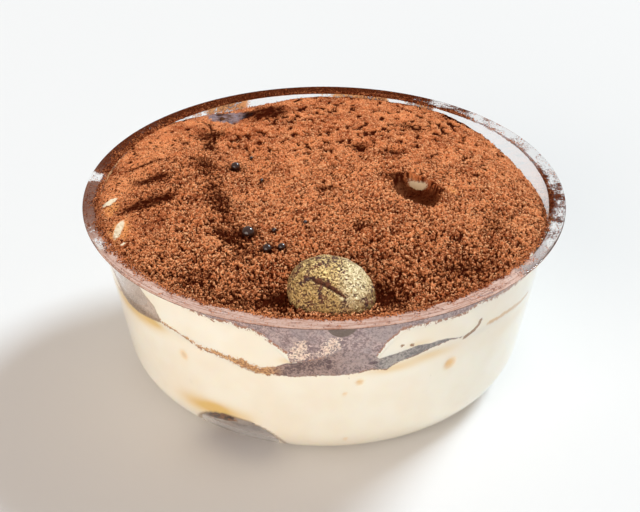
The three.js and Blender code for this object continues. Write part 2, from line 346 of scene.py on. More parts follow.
world = bpy.data.worlds.new("studio")
world.use_nodes = True
backdrop = world.node_tree.nodes["Background"]
backdrop.inputs["Color"].default_value = (*WARM, 1.0)
backdrop.inputs["Strength"].default_value = WORLD_STRENGTH
bpy.context.scene.world = world
bpy.context.scene.view_settings.view_transform = "Standard"
bpy.context.scene.cycles.max_bounces = 16
bpy.context.scene.cycles.transmission_bounces = 12
bpy.context.scene.cycles.transparent_max_bounces = 16

# %% Floor
FLOOR_REACH = 3000.0
FLOOR_TONES = (colour(231, 231, 231), colour(222, 222, 222))

finish = Finish("floor")
floor_tone = finish.noise(900, detail=1.0) * 0.01
floor_colour = finish.mixed(floor_tone, *FLOOR_TONES)
floor_material = finish.shown(finish.principled(base_color=floor_colour, roughness=0.75))

bm = bmesh.new()
bmesh.ops.create_circle(bm, cap_ends=True, segments=96, radius=FLOOR_REACH * MM)
floor_mesh = bpy.data.meshes.new("floor")
bm.to_mesh(floor_mesh)
bm.free()
floor_mesh.materials.append(floor_material)
floor = bpy.data.objects.new("floor", floor_mesh)
bpy.context.scene.collection.objects.link(floor)
print("floor and", len(bpy.data.lights), "lamps")

# %% [markdown]
# ## The bowl
# A thin bowl pressed from clear sheet: a recessed foot, a wide round corner, a wall that leans out
# and a flat flange. One closed profile, spun, gives both faces of the sheet at once, which glass
# needs: light bends where it enters the plastic and again where it leaves it. Rays of shadow and
# of soft light pass straight through, because bending them would only add noise.

# %% The bowl's shape
BOWL_SEGMENTS = 288
WALL_MARKS = (1.2, 2.5, 5.0)  # extra rings inside the mouth, below the rim, to hold the dust there
FLANGE_RINGS = 6


def corner(inset, lowest):
    """The round corner of the wall from a height up to where the wall leaves it."""
    radius = CORNER_RADIUS - inset
    start = math.degrees(math.asin(max((lowest - CORNER_RADIUS) / radius, -1)))
    end = -math.degrees(math.atan(WALL_SLOPE))
    return arc((CORNER_X, CORNER_RADIUS), radius, start, end, 12)


def wall_radius(height, inset):
    """The bowl's radius at a height, inset from the outside, with the round corner."""
    straight = WALL_TOP_RADIUS - WALL_SLOPE * (RIM_HEIGHT - height) - inset * SLOPE_LENGTH
    radius = CORNER_RADIUS - inset
    across = np.sqrt(np.maximum(radius**2 - (CORNER_RADIUS - height) ** 2, 0))
    leaves = CORNER_RADIUS - radius * math.sin(math.atan(WALL_SLOPE))
    return np.where(height < leaves, CORNER_X + across, straight)


def inner_wall(below_rim):
    """A point of the profile on the inside of the wall."""
    height = RIM_HEIGHT - below_rim
    return (float(wall_radius(height, WALL_THICKNESS)), height)


def flange_profile():
    under = RIM_HEIGHT - FLANGE_THICKNESS
    outer = RIM_RADIUS - EDGE_ROUNDING
    inner = MOUTH_RADIUS + EDGE_ROUNDING
    across = np.linspace(outer, inner, FLANGE_RINGS + 1)[1:-1]
    return [
        (float(wall_radius(under, 0)), under),
        *arc((outer, under + EDGE_ROUNDING), EDGE_ROUNDING, -90, 0, 3),
        *arc((outer, RIM_HEIGHT - EDGE_ROUNDING), EDGE_ROUNDING, 0, 90, 3),
        *[(radius, RIM_HEIGHT) for radius in across],
        *arc((inner, RIM_HEIGHT - EDGE_ROUNDING), EDGE_ROUNDING, 90, 180, 3),
    ]


foot_inner = CORNER_X - FOOT_WIDTH
bowl_profile = [
    (0, FOOT_RECESS),
    (foot_inner - FOOT_RECESS, FOOT_RECESS),
    (foot_inner, 0),
    *corner(0, 0),
    *flange_profile(),
    inner_wall(2 * EDGE_ROUNDING),
    *[inner_wall(mark) for mark in WALL_MARKS],
    *reversed(corner(WALL_THICKNESS, FLOOR_TOP)),
    (0, FLOOR_TOP),
]
print(len(bowl_profile), "points in the profile of the bowl")

# %% [markdown]
# ## Swells and tables
# Nothing in this food is even all the way round. A swell is a place round the bowl, in degrees from
# the front towards +X, a spread in degrees, and a rise, and a sum of swells makes the layers wavy.
# A table lists numbers at places round the bowl, and is read between them.

# %% Swells and tables
def swell_sum(angle, swells):
    total = np.zeros_like(angle)
    for at, spread, rise in swells:
        away = np.abs((angle - at + 180) % 360 - 180)
        total += np.where(away < spread, rise * (0.5 + 0.5 * np.cos(np.pi * away / spread)), 0)
    return total


def from_table(angle, table, column=1):
    places = [row[0] for row in table]
    return np.interp(angle, places, [row[column] for row in table], period=360)


def polar(x, y):
    """Angle from the front in degrees, radius, and radius as a part of the mouth's."""
    radius = np.hypot(x, y)
    return np.degrees(np.arctan2(x, -y)), radius, np.minimum(radius / MOUTH_RADIUS, 1)


def on_circle(angle, radius):
    return radius * np.sin(np.radians(angle)), -radius * np.cos(np.radians(angle))


# %% Dust on the plastic
# Place round the bowl, how much dust lies on the flange, and how brown it is.
FLANGE_FILM = [
    (-170, 0.97, 0.95), (-146, 0.95, 0.90), (-134, 0.85, 0.85), (-130, 0.55, 0.70),
    (-127, 0.55, 0.70), (-122, 0.90, 0.72), (-104, 0.88, 0.66), (-101, 0.80, 0.55),
    (-99.5, 0.00, 0.30), (-97.0, 0.00, 0.30), (-95.5, 0.90, 0.52), (-84, 0.92, 0.56),
    (-73, 0.70, 0.46), (-66, 0.50, 0.22), (-50, 0.60, 0.12), (-35, 0.74, 0.14),
    (-10, 0.82, 0.16), (20, 0.78, 0.16), (45, 0.60, 0.12), (60, 0.22, 0.12), (72, 0.30, 0.75),
    (86, 0.52, 0.95), (96, 0.44, 0.90), (106, 0.20, 0.45), (130, 0.24, 0.35), (140, 0.42, 0.75),
    (150, 0.60, 0.95), (162, 0.85, 0.95),
]
# Place round the bowl, and how much dust clings to the inside of the wall there.
WALL_FILM = [
    (-171, 0.05), (-160, 0.10), (-156, 0.66), (-148, 0.56), (-138, 0.46), (-128, 0.55),
    (-100, 0.80), (-60, 0.60), (60, 0.50), (76, 0.15), (100, 0.10), (145, 0.10), (149, 0.75),
    (156, 0.70), (158, 0.10), (161, 0.10), (163, 0.75), (174, 0.60), (180, 0.40),
]

MOUTH_BAND = 1.6  # how far out from the mouth a little more dust lies
MOUTH_DUST = 0.18
WALL_DUST_ENDS = (1.2, 5.5)  # below the rim: where the dust on the wall thins, and where it ends

bowl_mesh = spun(bowl_profile, BOWL_SEGMENTS)
x, y, z = coordinates(bowl_mesh)
angle, radius, _ = polar(x, y)
on_top = z > RIM_HEIGHT - EDGE_ROUNDING - 0.02
near_mouth = 1 - smoothstep(radius, MOUTH_RADIUS, MOUTH_RADIUS + MOUTH_BAND)
on_flange = from_table(angle, FLANGE_FILM) + MOUTH_DUST * near_mouth
inside_wall = np.abs(radius - wall_radius(z, WALL_THICKNESS)) < 0.1
fading = 1 - smoothstep(RIM_HEIGHT - z, *WALL_DUST_ENDS)
on_wall = from_table(angle, WALL_FILM) * inside_wall * fading
store(bowl_mesh, "dust", np.where(on_top, on_flange, on_wall))
store(bowl_mesh, "brown", from_table(angle, FLANGE_FILM, 2))
store(bowl_mesh, "amber", inside_wall & ~on_top)

# %% [markdown]
# ## Clear plastic with a film of cocoa
# The plastic is a glass shader. Where the powder was sifted over the flange it left a thin film,
# pink where it is thin and brown where it is thick, with bare patches. On the inside of the wall
# it is amber. The hand that wiped the flange went round with it, so the film is drawn out in
# streaks that run round too. Masks of noise over the stored dust mix the film over the glass, so
# that it has ragged edges at every scale. Most finishes below have their colours in pairs, dark
# and pale, which noise mixes.

# %% The bowl's plastic
STREAK_WIDTH = 0.32
STREAK_LENGTH = 4.0
RING_AT = 2.35  # a fine dark ring on the flange, this far out from the mouth
RING_WIDTH = 0.16
RING_BROWN = colour(150, 108, 96)
PALE_FILM = (colour(178, 134, 116), colour(232, 202, 188))
BROWN_FILM = (colour(42, 12, 4), colour(104, 50, 28))
AMBER_FILM = (colour(110, 52, 20), colour(250, 200, 146))

finish = Finish("clear_plastic")
waves = finish.noise(22, detail=1.0)
glass = finish.principled(
    base_color=(1.0, 1.0, 1.0, 1.0),
    roughness=0.03,
    ior=1.49,
    transmission_weight=1.0,
    normal=finish.bump(waves, 0.06, 1.0),
)
path = finish.tree.nodes.new("ShaderNodeLightPath")
shadow_ray = Wire(finish, path.outputs["Is Shadow Ray"])
diffuse_ray = Wire(finish, path.outputs["Is Diffuse Ray"])
clear = finish.node("BsdfTransparent", None, {"Color": (0.99, 0.99, 0.99, 1.0)})
straight_through = shadow_ray.maths("MAXIMUM", diffuse_ray)
plastic = finish.node("MixShader", None, {0: straight_through, 1: glass, 2: clear})

flat = finish.node("VectorMath", {"operation": "MULTIPLY"}, {0: finish.here(), 1: (1.0, 1.0, 0.0)})
outward = finish.node("VectorMath", {"operation": "LENGTH"}, {0: flat}, "Value") / MM
east = finish.node("SeparateXYZ", None, {0: flat}, "X") / (STREAK_LENGTH * MM)
north = finish.node("SeparateXYZ", None, {0: flat}, "Y") / (STREAK_LENGTH * MM)
drawn_out = finish.node("CombineXYZ", None, {0: outward / STREAK_WIDTH, 1: east, 2: north})
streaks = finish.node("TexNoise", None, {"Vector": drawn_out, "Scale": 1.0, "Detail": 3.0}, "Fac")
ring = 1 - abs(outward - (MOUTH_RADIUS + RING_AT)) / RING_WIDTH

grime = finish.noise(0.50, detail=5.0, roughness=0.8)
smears = finish.noise(3.2, detail=2.0)
film = (finish.kept("dust") + grime * 1.2 + smears * 1.1 + streaks * 0.3 - 1.63).ramp(0.0, 0.28)
brownness = (finish.kept("brown") + grime * 1.1 + streaks * 0.4 - 0.80).ramp(0.0, 0.7)
pale_tone = (grime * 0.7 + streaks * 0.6 - 0.15).ramp(0.36, 0.64)
pale_film = finish.mixed(pale_tone, *PALE_FILM)
pale_film = finish.mixed(ring.ramp(0.0, 0.6) * 0.3, pale_film, RING_BROWN)
brown_film = finish.mixed(grime.ramp(0.38, 0.60), *BROWN_FILM)
film_colour = finish.mixed(brownness, pale_film, brown_film)
amber_tone = (grime * 1.2 + smears * 0.6 - 0.40).ramp(0.40, 0.58)
amber_film = finish.mixed(amber_tone, *AMBER_FILM)
film_colour = finish.mixed(finish.kept("amber"), film_colour, amber_film)
powder_film = finish.principled(
    base_color=film_colour,
    roughness=0.9,
    specular_ior_level=0.0,
    normal=finish.bump(grime, 0.5, 0.08),
)
dusty = finish.node("MixShader", None, {0: film, 1: plastic, 2: powder_film})
finished(bowl_mesh, "clear_bowl", finish.shown(dusty), ["bowl"], sharp=40)

# %% [markdown]
# ## Levels of the layers
# Each layer is a function of where one stands in the bowl, measured down from the rim. The same
# functions are used for the pieces above and below a level, so that they meet.

# %% Levels, as heights above the rim's plane
SEAM_FLOOR = -12
SEAM_THICKNESS = 0.7
UPPER_CREAM_TOP = -4.6
UPPER_CREAM_MIDDLE = -1.4
COCOA_EDGE = -0.9
COCOA_DOME = 2.6
SHOULDER_POWER = 8
SEAM_FLOOR_SWELLS = [
    (-50, 35, 1.2), (-15, 25, -2.5), (8, 14, -1.2), (32, 25, 0.9), (78, 28, -1.0),
    (128, 34, 1.1), (180, 30, -1.3), (-132, 36, 1.4), (-92, 24, -0.9),
]
SEAM_THICKNESS_SWELLS = [
    (-18, 30, 1.0),
    (14, 28, 2.2),
    (104, 26, 0.8),
    (168, 30, 1.3),
    (-112, 28, 0.9),
]
UPPER_CREAM_SWELLS = [
    (-50, 45, 2.4),
    (100, 36, -1.9),
    (150, 30, 0.9),
    (-160, 34, -1.2),
    (-112, 30, 1.2),
]
COCOA_EDGE_SWELLS = [(6, 80, 1.1), (106, 42, -3.7), (-124, 22, 0.9), (-158, 22, -1.1)]
CLEFT_DEPTH = 8
CLEFT_FROM = (-17, -5)
CLEFT_TO = (10, 20)
CLEFT_RADII = (27, 41)


def seam_floor(x, y):
    angle, _, out = polar(x, y)
    return SEAM_FLOOR + swell_sum(angle, SEAM_FLOOR_SWELLS) * out**2


def seam_top(x, y):
    angle, _, out = polar(x, y)
    return seam_floor(x, y) + SEAM_THICKNESS + swell_sum(angle, SEAM_THICKNESS_SWELLS) * out**3


def upper_cream_top(x, y):
    angle, radius, out = polar(x, y)
    wall = UPPER_CREAM_TOP + swell_sum(angle, UPPER_CREAM_SWELLS)
    across = smoothstep(angle, *CLEFT_FROM) * (1 - smoothstep(angle, *CLEFT_TO))
    cleft = CLEFT_DEPTH * across * smoothstep(radius, *CLEFT_RADII)
    return UPPER_CREAM_MIDDLE + (wall - UPPER_CREAM_MIDDLE) * out**3 - cleft


def lowest_cocoa(x, y):
    return np.maximum(seam_top(x, y), upper_cream_top(x, y))


def upper_cream_shown(x, y):
    """The top of the upper cream, kept a hair above the seam where the cocoa cleaves it."""
    return np.maximum(upper_cream_top(x, y), seam_top(x, y) + 0.02)


# %% [markdown]
# ## What is seen through the wall
# Pressed against the plastic, cocoa and cream do not meet in clean lines: powder strays over the
# edge, cream smears into the cocoa, and coffee leaves streaks. So the colours at the wall follow
# lines of their own. At the front these are given point by point, in degrees and in millimetres
# above the rim's plane. Elsewhere they follow the levels of the layers.

# %% Lines at the wall
# The lower edge of the misty veil of cocoa under the flange, and both edges of the seam.
VEIL_EDGE = [
    (-40.6, -2.4), (-37.6, -2.4), (-31.4, -3.0), (-27.7, -3.5), (-23.0, -3.1), (-19.2, -3.7),
    (-16.8, -3.9), (-14.3, -4.8), (-12.1, -6.5), (-9.9, -7.9), (-8.7, -8.8), (-8.2, -11.1),
    (-4.5, -10.6), (5.0, -8.0), (12.6, -10.0), (13.8, -8.4), (15.1, -6.4), (17.6, -4.75),
    (18.6, -3.95), (21.3, -3.75), (26.5, -3.85), (30.9, -4.3), (35.9, -4.4), (39.5, -3.4),
    (46.2, -4.1),
]
SEAM_UPPER = [
    (-44.2, -9.6), (-39.9, -9.95), (-35.6, -10.7), (-32.4, -11.6), (-28.3, -11.3),
    (-23.5, -11.7), (-20.3, -11.9), (-17.8, -12.7), (-15.7, -13.1), (-12.6, -12.35),
    (-9.5, -11.2), (-4.5, -10.4), (-0.9, -9.6), (0.7, -9.0), (3.1, -8.0), (5.0, -6.9),
    (12.0, -9.3), (13.5, -10.4), (15.8, -10.0), (19.3, -9.5), (23.2, -8.8), (26.7, -9.2),
    (28.8, -9.1), (31.5, -9.3), (35.2, -10.2),
]
SEAM_LOWER = [
    (-44.3, -10.0), (-40.0, -10.3), (-35.7, -11.15), (-32.6, -12.1), (-28.5, -12.3),
    (-23.7, -13.05), (-20.6, -13.9), (-17.4, -14.65), (-15.3, -14.75), (-11.2, -14.4),
    (-7.6, -14.45), (-3.7, -13.9), (3.8, -13.75), (8.2, -13.5), (11.8, -12.9), (15.8, -13.45),
    (17.7, -12.3), (20.4, -11.7), (23.6, -11.2), (26.9, -10.5), (29.9, -10.2), (33.1, -10.0),
    (35.3, -10.4),
]
# Outlines of the smear of cream in the veil, and of the wedge where the side pocket shows.
SMEAR = [
    (-9.0, -9.3), (-8.0, -7.2), (-6.5, -5.3), (-3.7, -4.5), (-3.0, -6.2), (-4.0, -7.7),
    (-2.8, -8.6), (-1.2, -8.1), (-0.5, -5.4), (2.3, -4.2), (4.8, -4.8), (4.7, -6.6),
    (3.1, -7.8), (0.7, -8.9), (-0.9, -9.5), (-5.0, -10.4), (-8.7, -11.0), (-10.1, -10.7),
]
WEDGE = [
    (-65.5, -5.4), (-60.3, -3.1), (-53.3, -3.0), (-48.5, -5.4), (-46.1, -6.75), (-44.6, -10.0),
    (-49.7, -10.9), (-55.2, -11.7), (-60.6, -11.8), (-64.4, -10.6), (-65.9, -7.0),
]
# Each brown streak is an extra width in millimetres and its points.
BROWN_STREAKS = [
    (0.40, [(-70.5, -5.6), (-66.3, -7.9), (-62.6, -10.6)]),
    (0.05, [(37.0, -10.9), (39.6, -10.3), (41.4, -9.4), (41.9, -8.2)]),
    (0.0, [(19.0, -8.1), (19.2, -8.1)]),
    (0.0, [(21.3, -8.45), (21.7, -8.4)]),
]
TAN_STREAKS = [[(45.5, -10.3), (51.7, -10.7), (55.7, -11.1), (60.5, -11.7), (66.3, -12.1)]]
# Dark spots in the seam: X, height above the rim's plane, half width and half height.
DARK_SPOTS = [(0.95, -10.3, 0.5, 0.6), (0.95, -11.6, 0.55, 0.6), (8.9, -11.3, 1.0, 0.45)]
# Stretches where the seam turns orange, takes on the colour of the cocoa above it, or turns grey:
# its side, -1 to the left, and where it starts and ends, in degrees from the front.
SEAM_STRETCHES = [
    ("browned", -1, (9, 15), (66, 90)),
    ("blended", 1, (2, 6), (11, 14)),
    ("greyed", 1, (11, 15), (34, 40)),
]
# Between these places the seam fades into the cream.
FADED_STARTS = (35.2, 37)
FADED_ENDS = (84, 104)
JOINING = 12  # degrees beyond the given points in which a line goes over to a level of the layers


def round_line(given, level_at):
    """The places and levels of a line all the way round the wall."""
    angle = np.arange(-180.0, 180.0, 4.0)
    angle = angle[(angle < given[0][0] - JOINING) | (angle > given[-1][0] + JOINING)]
    level = level_at(*on_circle(angle, MOUTH_RADIUS))
    return sorted(given + list(zip(angle, level)))


VEIL_LINE = round_line(VEIL_EDGE, upper_cream_top)
UPPER_LINE = round_line(SEAM_UPPER, seam_top)
LOWER_LINE = round_line(SEAM_LOWER, seam_floor)


def unrolled(points):
    """Places round the wall in degrees as millimetres along it, with their levels."""
    return [(math.radians(angle) * MOUTH_RADIUS, level) for angle, level in points]


def to_segment(along, level, start, end):
    run, rise = end[0] - start[0], end[1] - start[1]
    past_x, past_y = along - start[0], level - start[1]
    part = np.clip((past_x * run + past_y * rise) / (run**2 + rise**2), 0, 1)
    return np.hypot(past_x - run * part, past_y - rise * part)


def to_line(angle, level, points):
    """Distance in millimetres from points of the wall to a line on it."""
    along = np.radians(angle) * MOUTH_RADIUS
    pieces = zip(unrolled(points), unrolled(points)[1:])
    return np.min([to_segment(along, level, *piece) for piece in pieces], axis=0)


def into_outline(angle, level, outline):
    """How far points of the wall lie within an outline, and less than 0 outside it."""
    closed = outline + outline[:1]
    along = np.radians(angle) * MOUTH_RADIUS
    inside = np.zeros(len(along), dtype=bool)
    corners = unrolled(closed)
    for (from_x, from_y), (to_x, to_y) in zip(corners, corners[1:]):
        crosses = (from_y > level) != (to_y > level)
        meets = from_x + (level - from_y) / (to_y - from_y + 1e-9) * (to_x - from_x)
        inside ^= crosses & (along < meets)
    distance = to_line(angle, level, closed)
    return np.where(inside, distance, -distance)


def mark_wall(bm):
    """Stores where each point of a piece lies among the lines at the wall."""
    x, y, z = coordinates(bm)
    level = z - RIM_HEIGHT
    angle, _, _ = polar(x, y)
    store(bm, "veil_depth", level - from_table(angle, VEIL_LINE))
    store(bm, "under_seam_top", from_table(angle, UPPER_LINE) - level)
    store(bm, "over_seam_floor", level - from_table(angle, LOWER_LINE))
    store(bm, "smear", into_outline(angle, level, SMEAR))
    store(bm, "wedge", into_outline(angle, level, WEDGE))
    for name, side, starts, ends in SEAM_STRETCHES:
        place = side * angle
        store(bm, name, smoothstep(place, *starts) * (1 - smoothstep(place, *ends)))
    faded = smoothstep(angle, *FADED_STARTS) * (1 - smoothstep(angle, *FADED_ENDS))
    store(bm, "shown", 1 - faded)
    distances = [to_line(angle, level, line) - wide for wide, line in BROWN_STREAKS]
    store(bm, "to_brown", np.min(distances, axis=0))
    store(bm, "to_tan", np.min([to_line(angle, level, line) for line in TAN_STREAKS], axis=0))


# %% The look of the wall
VEIL_MAUVE = (colour(130, 108, 110), colour(204, 182, 178))
VEIL_CLOUD = colour(150, 140, 142)
VEIL_EDGE_BROWN = colour(164, 104, 62)
VEIL_EDGE_WIDTH = 0.42
SMEARED_CREAM = (colour(212, 180, 162), colour(250, 232, 214))
# The dark tip under the flange: X, height above the rim's plane, half width and half height.
TIP_PLACE = (3.2, -1.6, 2.7, 2.7)
TIP_STARTS = (1.1, 1.5)  # below the rim's plane
TIP_BROWN = (colour(70, 58, 50), colour(136, 116, 102))
SEAM_MAUVE = (colour(98, 76, 76), colour(176, 150, 142))
SEAM_GREY = (colour(114, 112, 112), colour(174, 170, 164))
SEAM_ORANGE = (colour(140, 82, 42), colour(226, 178, 120))
SEAM_SPECK = colour(72, 40, 46)
SEAM_SPOT = colour(74, 44, 54)
SEAM_EDGE_BROWN = colour(142, 88, 56)
SEAM_EDGE_WIDTH = 0.20
WEDGE_TURNS_BROWN = 8.6  # below the rim's plane
# Painted shade of the side pocket, seen through the plastic: paler above and browner below.
WEDGE_SHADE_PALE = (colour(162, 140, 124), colour(198, 180, 166))
WEDGE_SHADE_BROWN = (colour(92, 66, 44), colour(158, 132, 110))
WEDGE_EDGE_BROWN = colour(146, 108, 72)
WEDGE_EDGE_WIDTH = 0.30
STREAK_TAN = colour(214, 170, 104)
TAN_WIDTH = 0.85
STREAK_BROWN = colour(150, 104, 52)
BROWN_WIDTH = 0.46


def oval(finish, at_x, at_level, half_across, half_up):
    """1 in the middle of an oval on the front of the wall, 0 on its outline and less outside it."""
    across = (finish.across() - at_x) / half_across
    up = (finish.above_rim() - at_level) / half_up
    return 1 - across**2 - up**2


def veil_colour(finish, tone, cloud, mottle, specks):
    """The misty cocoa under the flange, with a smear of cream and a dark tip in it."""
    mauve = finish.mixed(tone, *VEIL_MAUVE)
    mauve = finish.mixed(cloud.ramp(0.42, 0.62) * 0.5, mauve, VEIL_CLOUD)
    within = finish.kept("smear")
    smear = (within * 0.28 + (mottle - 0.5) * 2.2 + (specks - 0.5) * 2.0).ramp(-0.05, 0.35)
    smear_tone = finish.mixed(specks.ramp(0.38, 0.60), *SMEARED_CREAM)
    mauve = finish.mixed(smear * within.ramp(-0.5, 0.4) * 0.95, mauve, smear_tone)
    tip = oval(finish, *TIP_PLACE).ramp(0.0, 0.12) * (finish.above_rim() * -1).ramp(*TIP_STARTS)
    return finish.mixed(tip, mauve, finish.mixed(mottle, *TIP_BROWN))


def seam_colour(finish, tone, specks, stray, veil):
    """The cocoa between the creams: greyed to the right and orange to the left."""
    dark_specks = finish.noise(0.9, detail=3.0, roughness=0.7).ramp(0.60, 0.68)
    mauve = finish.mixed(tone, *SEAM_MAUVE)
    mauve = finish.mixed(dark_specks * 0.85, mauve, SEAM_SPECK)
    mauve = finish.mixed(finish.kept("greyed") * 0.8, mauve, finish.mixed(tone, *SEAM_GREY))
    mauve = finish.mixed(finish.kept("blended") * 0.45, mauve, veil)
    for spot in DARK_SPOTS:
        dark_spot = (oval(finish, *spot) + stray * 0.8).ramp(0.0, 0.5)
        mauve = finish.mixed(dark_spot * 0.8, mauve, SEAM_SPOT)
    orange = finish.mixed(specks.ramp(0.38, 0.60), *SEAM_ORANGE)
    return finish.mixed(finish.kept("browned"), mauve, orange)


def wedge_colour(finish, tone, mottle):
    """Painted shade of the pocket at the side: pale above and brown below."""
    low = (finish.above_rim() * -1 - WEDGE_TURNS_BROWN + (mottle - 0.5) * 5.0).ramp(0.0, 1.8)
    pale = finish.mixed(tone, *WEDGE_SHADE_PALE)
    return finish.mixed(low, pale, finish.mixed(tone, *WEDGE_SHADE_BROWN))


def wall_look(finish, cream):
    """What shows through the plastic: cocoa, stray powder and streaks over a colour of cream."""
    mottle = finish.noise(1.0, detail=4.0, roughness=0.75)
    specks = finish.noise(0.42, detail=2.0, roughness=0.8)
    cloud = finish.noise(4.5, detail=2.0)
    stray = (mottle + specks - 1) * 2.2
    tone = (mottle * 0.8 + specks * 0.9 + cloud * 0.4 - 0.55).ramp(0.36, 0.64)

    over_veil_edge = finish.kept("veil_depth")
    veil = veil_colour(finish, tone, cloud, mottle, specks)
    look = finish.mixed((over_veil_edge + stray * 0.7).ramp(-0.12, 0.12), cream, veil)

    over_floor = finish.kept("over_seam_floor")
    within_seam = finish.kept("under_seam_top").maths("MINIMUM", over_floor)
    shown = finish.kept("shown")
    scattering = stray * (finish.kept("browned") * 0.9 + 0.2)
    in_seam = (within_seam + scattering).ramp(-0.08, 0.12) * shown
    look = finish.mixed(in_seam, look, seam_colour(finish, tone, specks, stray, veil))

    veil_edge = (VEIL_EDGE_WIDTH - abs(over_veil_edge) + stray * 1.1).ramp(0.10, 0.35)
    look = finish.mixed(veil_edge * (1 - in_seam) * 0.85, look, VEIL_EDGE_BROWN)
    seam_edge = (SEAM_EDGE_WIDTH - abs(over_floor) + stray * 0.45).ramp(0.05, 0.2)
    look = finish.mixed(seam_edge * shown * 0.8, look, SEAM_EDGE_BROWN)

    within_wedge = finish.kept("wedge")
    in_wedge = (within_wedge + stray * 0.2).ramp(-0.1, 0.15)
    look = finish.mixed(in_wedge * 0.95, look, wedge_colour(finish, tone, mottle))
    wedge_edge = (WEDGE_EDGE_WIDTH - abs(within_wedge) + stray * 0.3).ramp(0.0, 0.25)
    look = finish.mixed(wedge_edge * 0.5, look, WEDGE_EDGE_BROWN)

    tan_streak = (TAN_WIDTH - finish.kept("to_tan") + stray * 0.5).ramp(0.1, 0.8)
    look = finish.mixed(tan_streak * 0.8, look, STREAK_TAN)
    brown_streak = (BROWN_WIDTH - finish.kept("to_brown") + stray * 0.3).ramp(0.0, 0.25)
    return finish.mixed(brown_streak * 0.9, look, STREAK_BROWN)


def wall_shader(finish, cream):
    """Food pressed against the plastic: moist, and deep enough for light to sink into it."""
    return finish.principled(
        base_color=wall_look(finish, cream),
        roughness=0.42,
        subsurface_weight=0.5,
        subsurface_radius=(1.0, 0.8, 0.55),
        subsurface_scale=0.6 * MM,
        normal=finish.bump(finish.noise(3.5, detail=2.0), 0.25, 0.3),
    )


# %% [markdown]
# ## A slab of food between two levels
# Every layer is the same thing: a slab between a level below and a level above, filled out to the
# wall. So one unit slab, 1 across and 1 high, is spun with enough rings and rows, and each of its
# points is then moved to where it belongs. The wall leans, so the radius follows from the height.
# Two pockets of air are pressed into the sides, where the contents never touched the plastic.

# %% Slabs
SLAB_SEGMENTS = 640
SIDE_POCKET = {"angle": -57, "radius": 45.2, "level": -3.8, "half": (10, 3.6, 8.6)}
FOOT_POCKET = {"angle": -25.5, "radius": 39.2, "level": -33.7, "half": (8.8, 7.6, 5.6)}
# The edge of the side pocket towards the front is straight: its ends are along and up.
POCKET_EDGE = ((4.1, -2.8), (10.6, -10.4))


def unit_slab(rings, rows):
    """A spun disc of radius 1 from height 0 to 1, as a profile of even rings and rows."""
    across = np.linspace(0, 1, rings + 1)
    up = np.linspace(0, 1, rows + 1)
    profile = [(ring, 0.0) for ring in across]
    profile += [(1.0, row) for row in up[1:]]
    profile += [(ring, 1.0) for ring in across[::-1][1:]]
    return spun(profile, SLAB_SEGMENTS)


def beyond_edge(along, level):
    """How far a point of the wall lies past the straight edge of the side pocket."""
    (from_along, from_level), (to_along, to_level) = POCKET_EDGE
    run, fall = to_along - from_along, to_level - from_level
    side = (along - from_along) * -fall + (level - from_level) * run
    return side / math.hypot(run, fall)


def within_pocket(x, y, level, pocket):
    """1 in the middle of a pocket, 0 on its outline, and how far along and outward one is."""
    turn = math.radians(pocket["angle"])
    half_along, _, half_up = pocket["half"]
    along = x * math.cos(turn) + y * math.sin(turn)
    outward = x * math.sin(turn) - y * math.cos(turn)
    inside = 1 - (along / half_along) ** 2 - ((level - pocket["level"]) / half_up) ** 2
    return np.where(outward > 0, inside, -9), along, outward


def pressed_in(x, y, height, part, pocket):
    """How far a pocket of air presses each point of a slab towards the middle."""
    level = height - RIM_HEIGHT
    half_in = pocket["half"][1]
    inside, along, outward = within_pocket(x, y, level, pocket)
    current = np.hypot(x, y)
    back = pocket["radius"] - half_in * np.sqrt(np.maximum(inside, 0))
    limit = back / np.maximum(outward / np.maximum(current, 1e-6), 0.2)
    depth = np.where((inside > 0) & (outward > 0), np.maximum(current - limit, 0), 0)
    if pocket is SIDE_POCKET:
        depth *= smoothstep(-beyond_edge(along, level), 0, 1.3)
    return depth * smoothstep(part, 0.7, 0.95)


def fill_between(bm, low, high, inset, pocket=None):
    """Moves a unit slab's points to fill the bowl between two levels, out to the wall."""
    x, y, part = coordinates(bm)
    out = np.hypot(x, y)
    cos, sin = x / np.maximum(out, 1e-6), y / np.maximum(out, 1e-6)
    radius = out * MOUTH_RADIUS
    for _ in range(3):  # the radius depends on the height, and the height on the radius
        bottom, top = low(cos * radius, sin * radius), high(cos * radius, sin * radius)
        height = RIM_HEIGHT + bottom + (top - bottom) * part
        radius = out * wall_radius(height, inset)
    depth = np.zeros_like(radius)
    if pocket:
        depth = pressed_in(cos * radius, sin * radius, height, out, pocket)
    for vert, place in zip(bm.verts, zip(cos * (radius - depth), sin * (radius - depth), height)):
        vert.co = place
    return depth


# %% [markdown]
# ## Cream and sponge
# Mascarpone cream is thick and lets light sink in a little, so its shader scatters below the
# surface. What happened while it was spooned in is kept as numbers on the vertices: bubbles,
# hollows painted in shade, an ochre tint in spots, and where each point lies among the lines at
# the wall.

# %% What shows in the cream at the wall
SPONGE_RADIUS = 27.5
SPONGE_TOP = 6.5
SPONGE_SWELLS = [(-29, 24, 6.2), (40, 40, 2.4), (118, 30, -2.2), (172, 34, 2.2), (-98, 32, 1.6)]
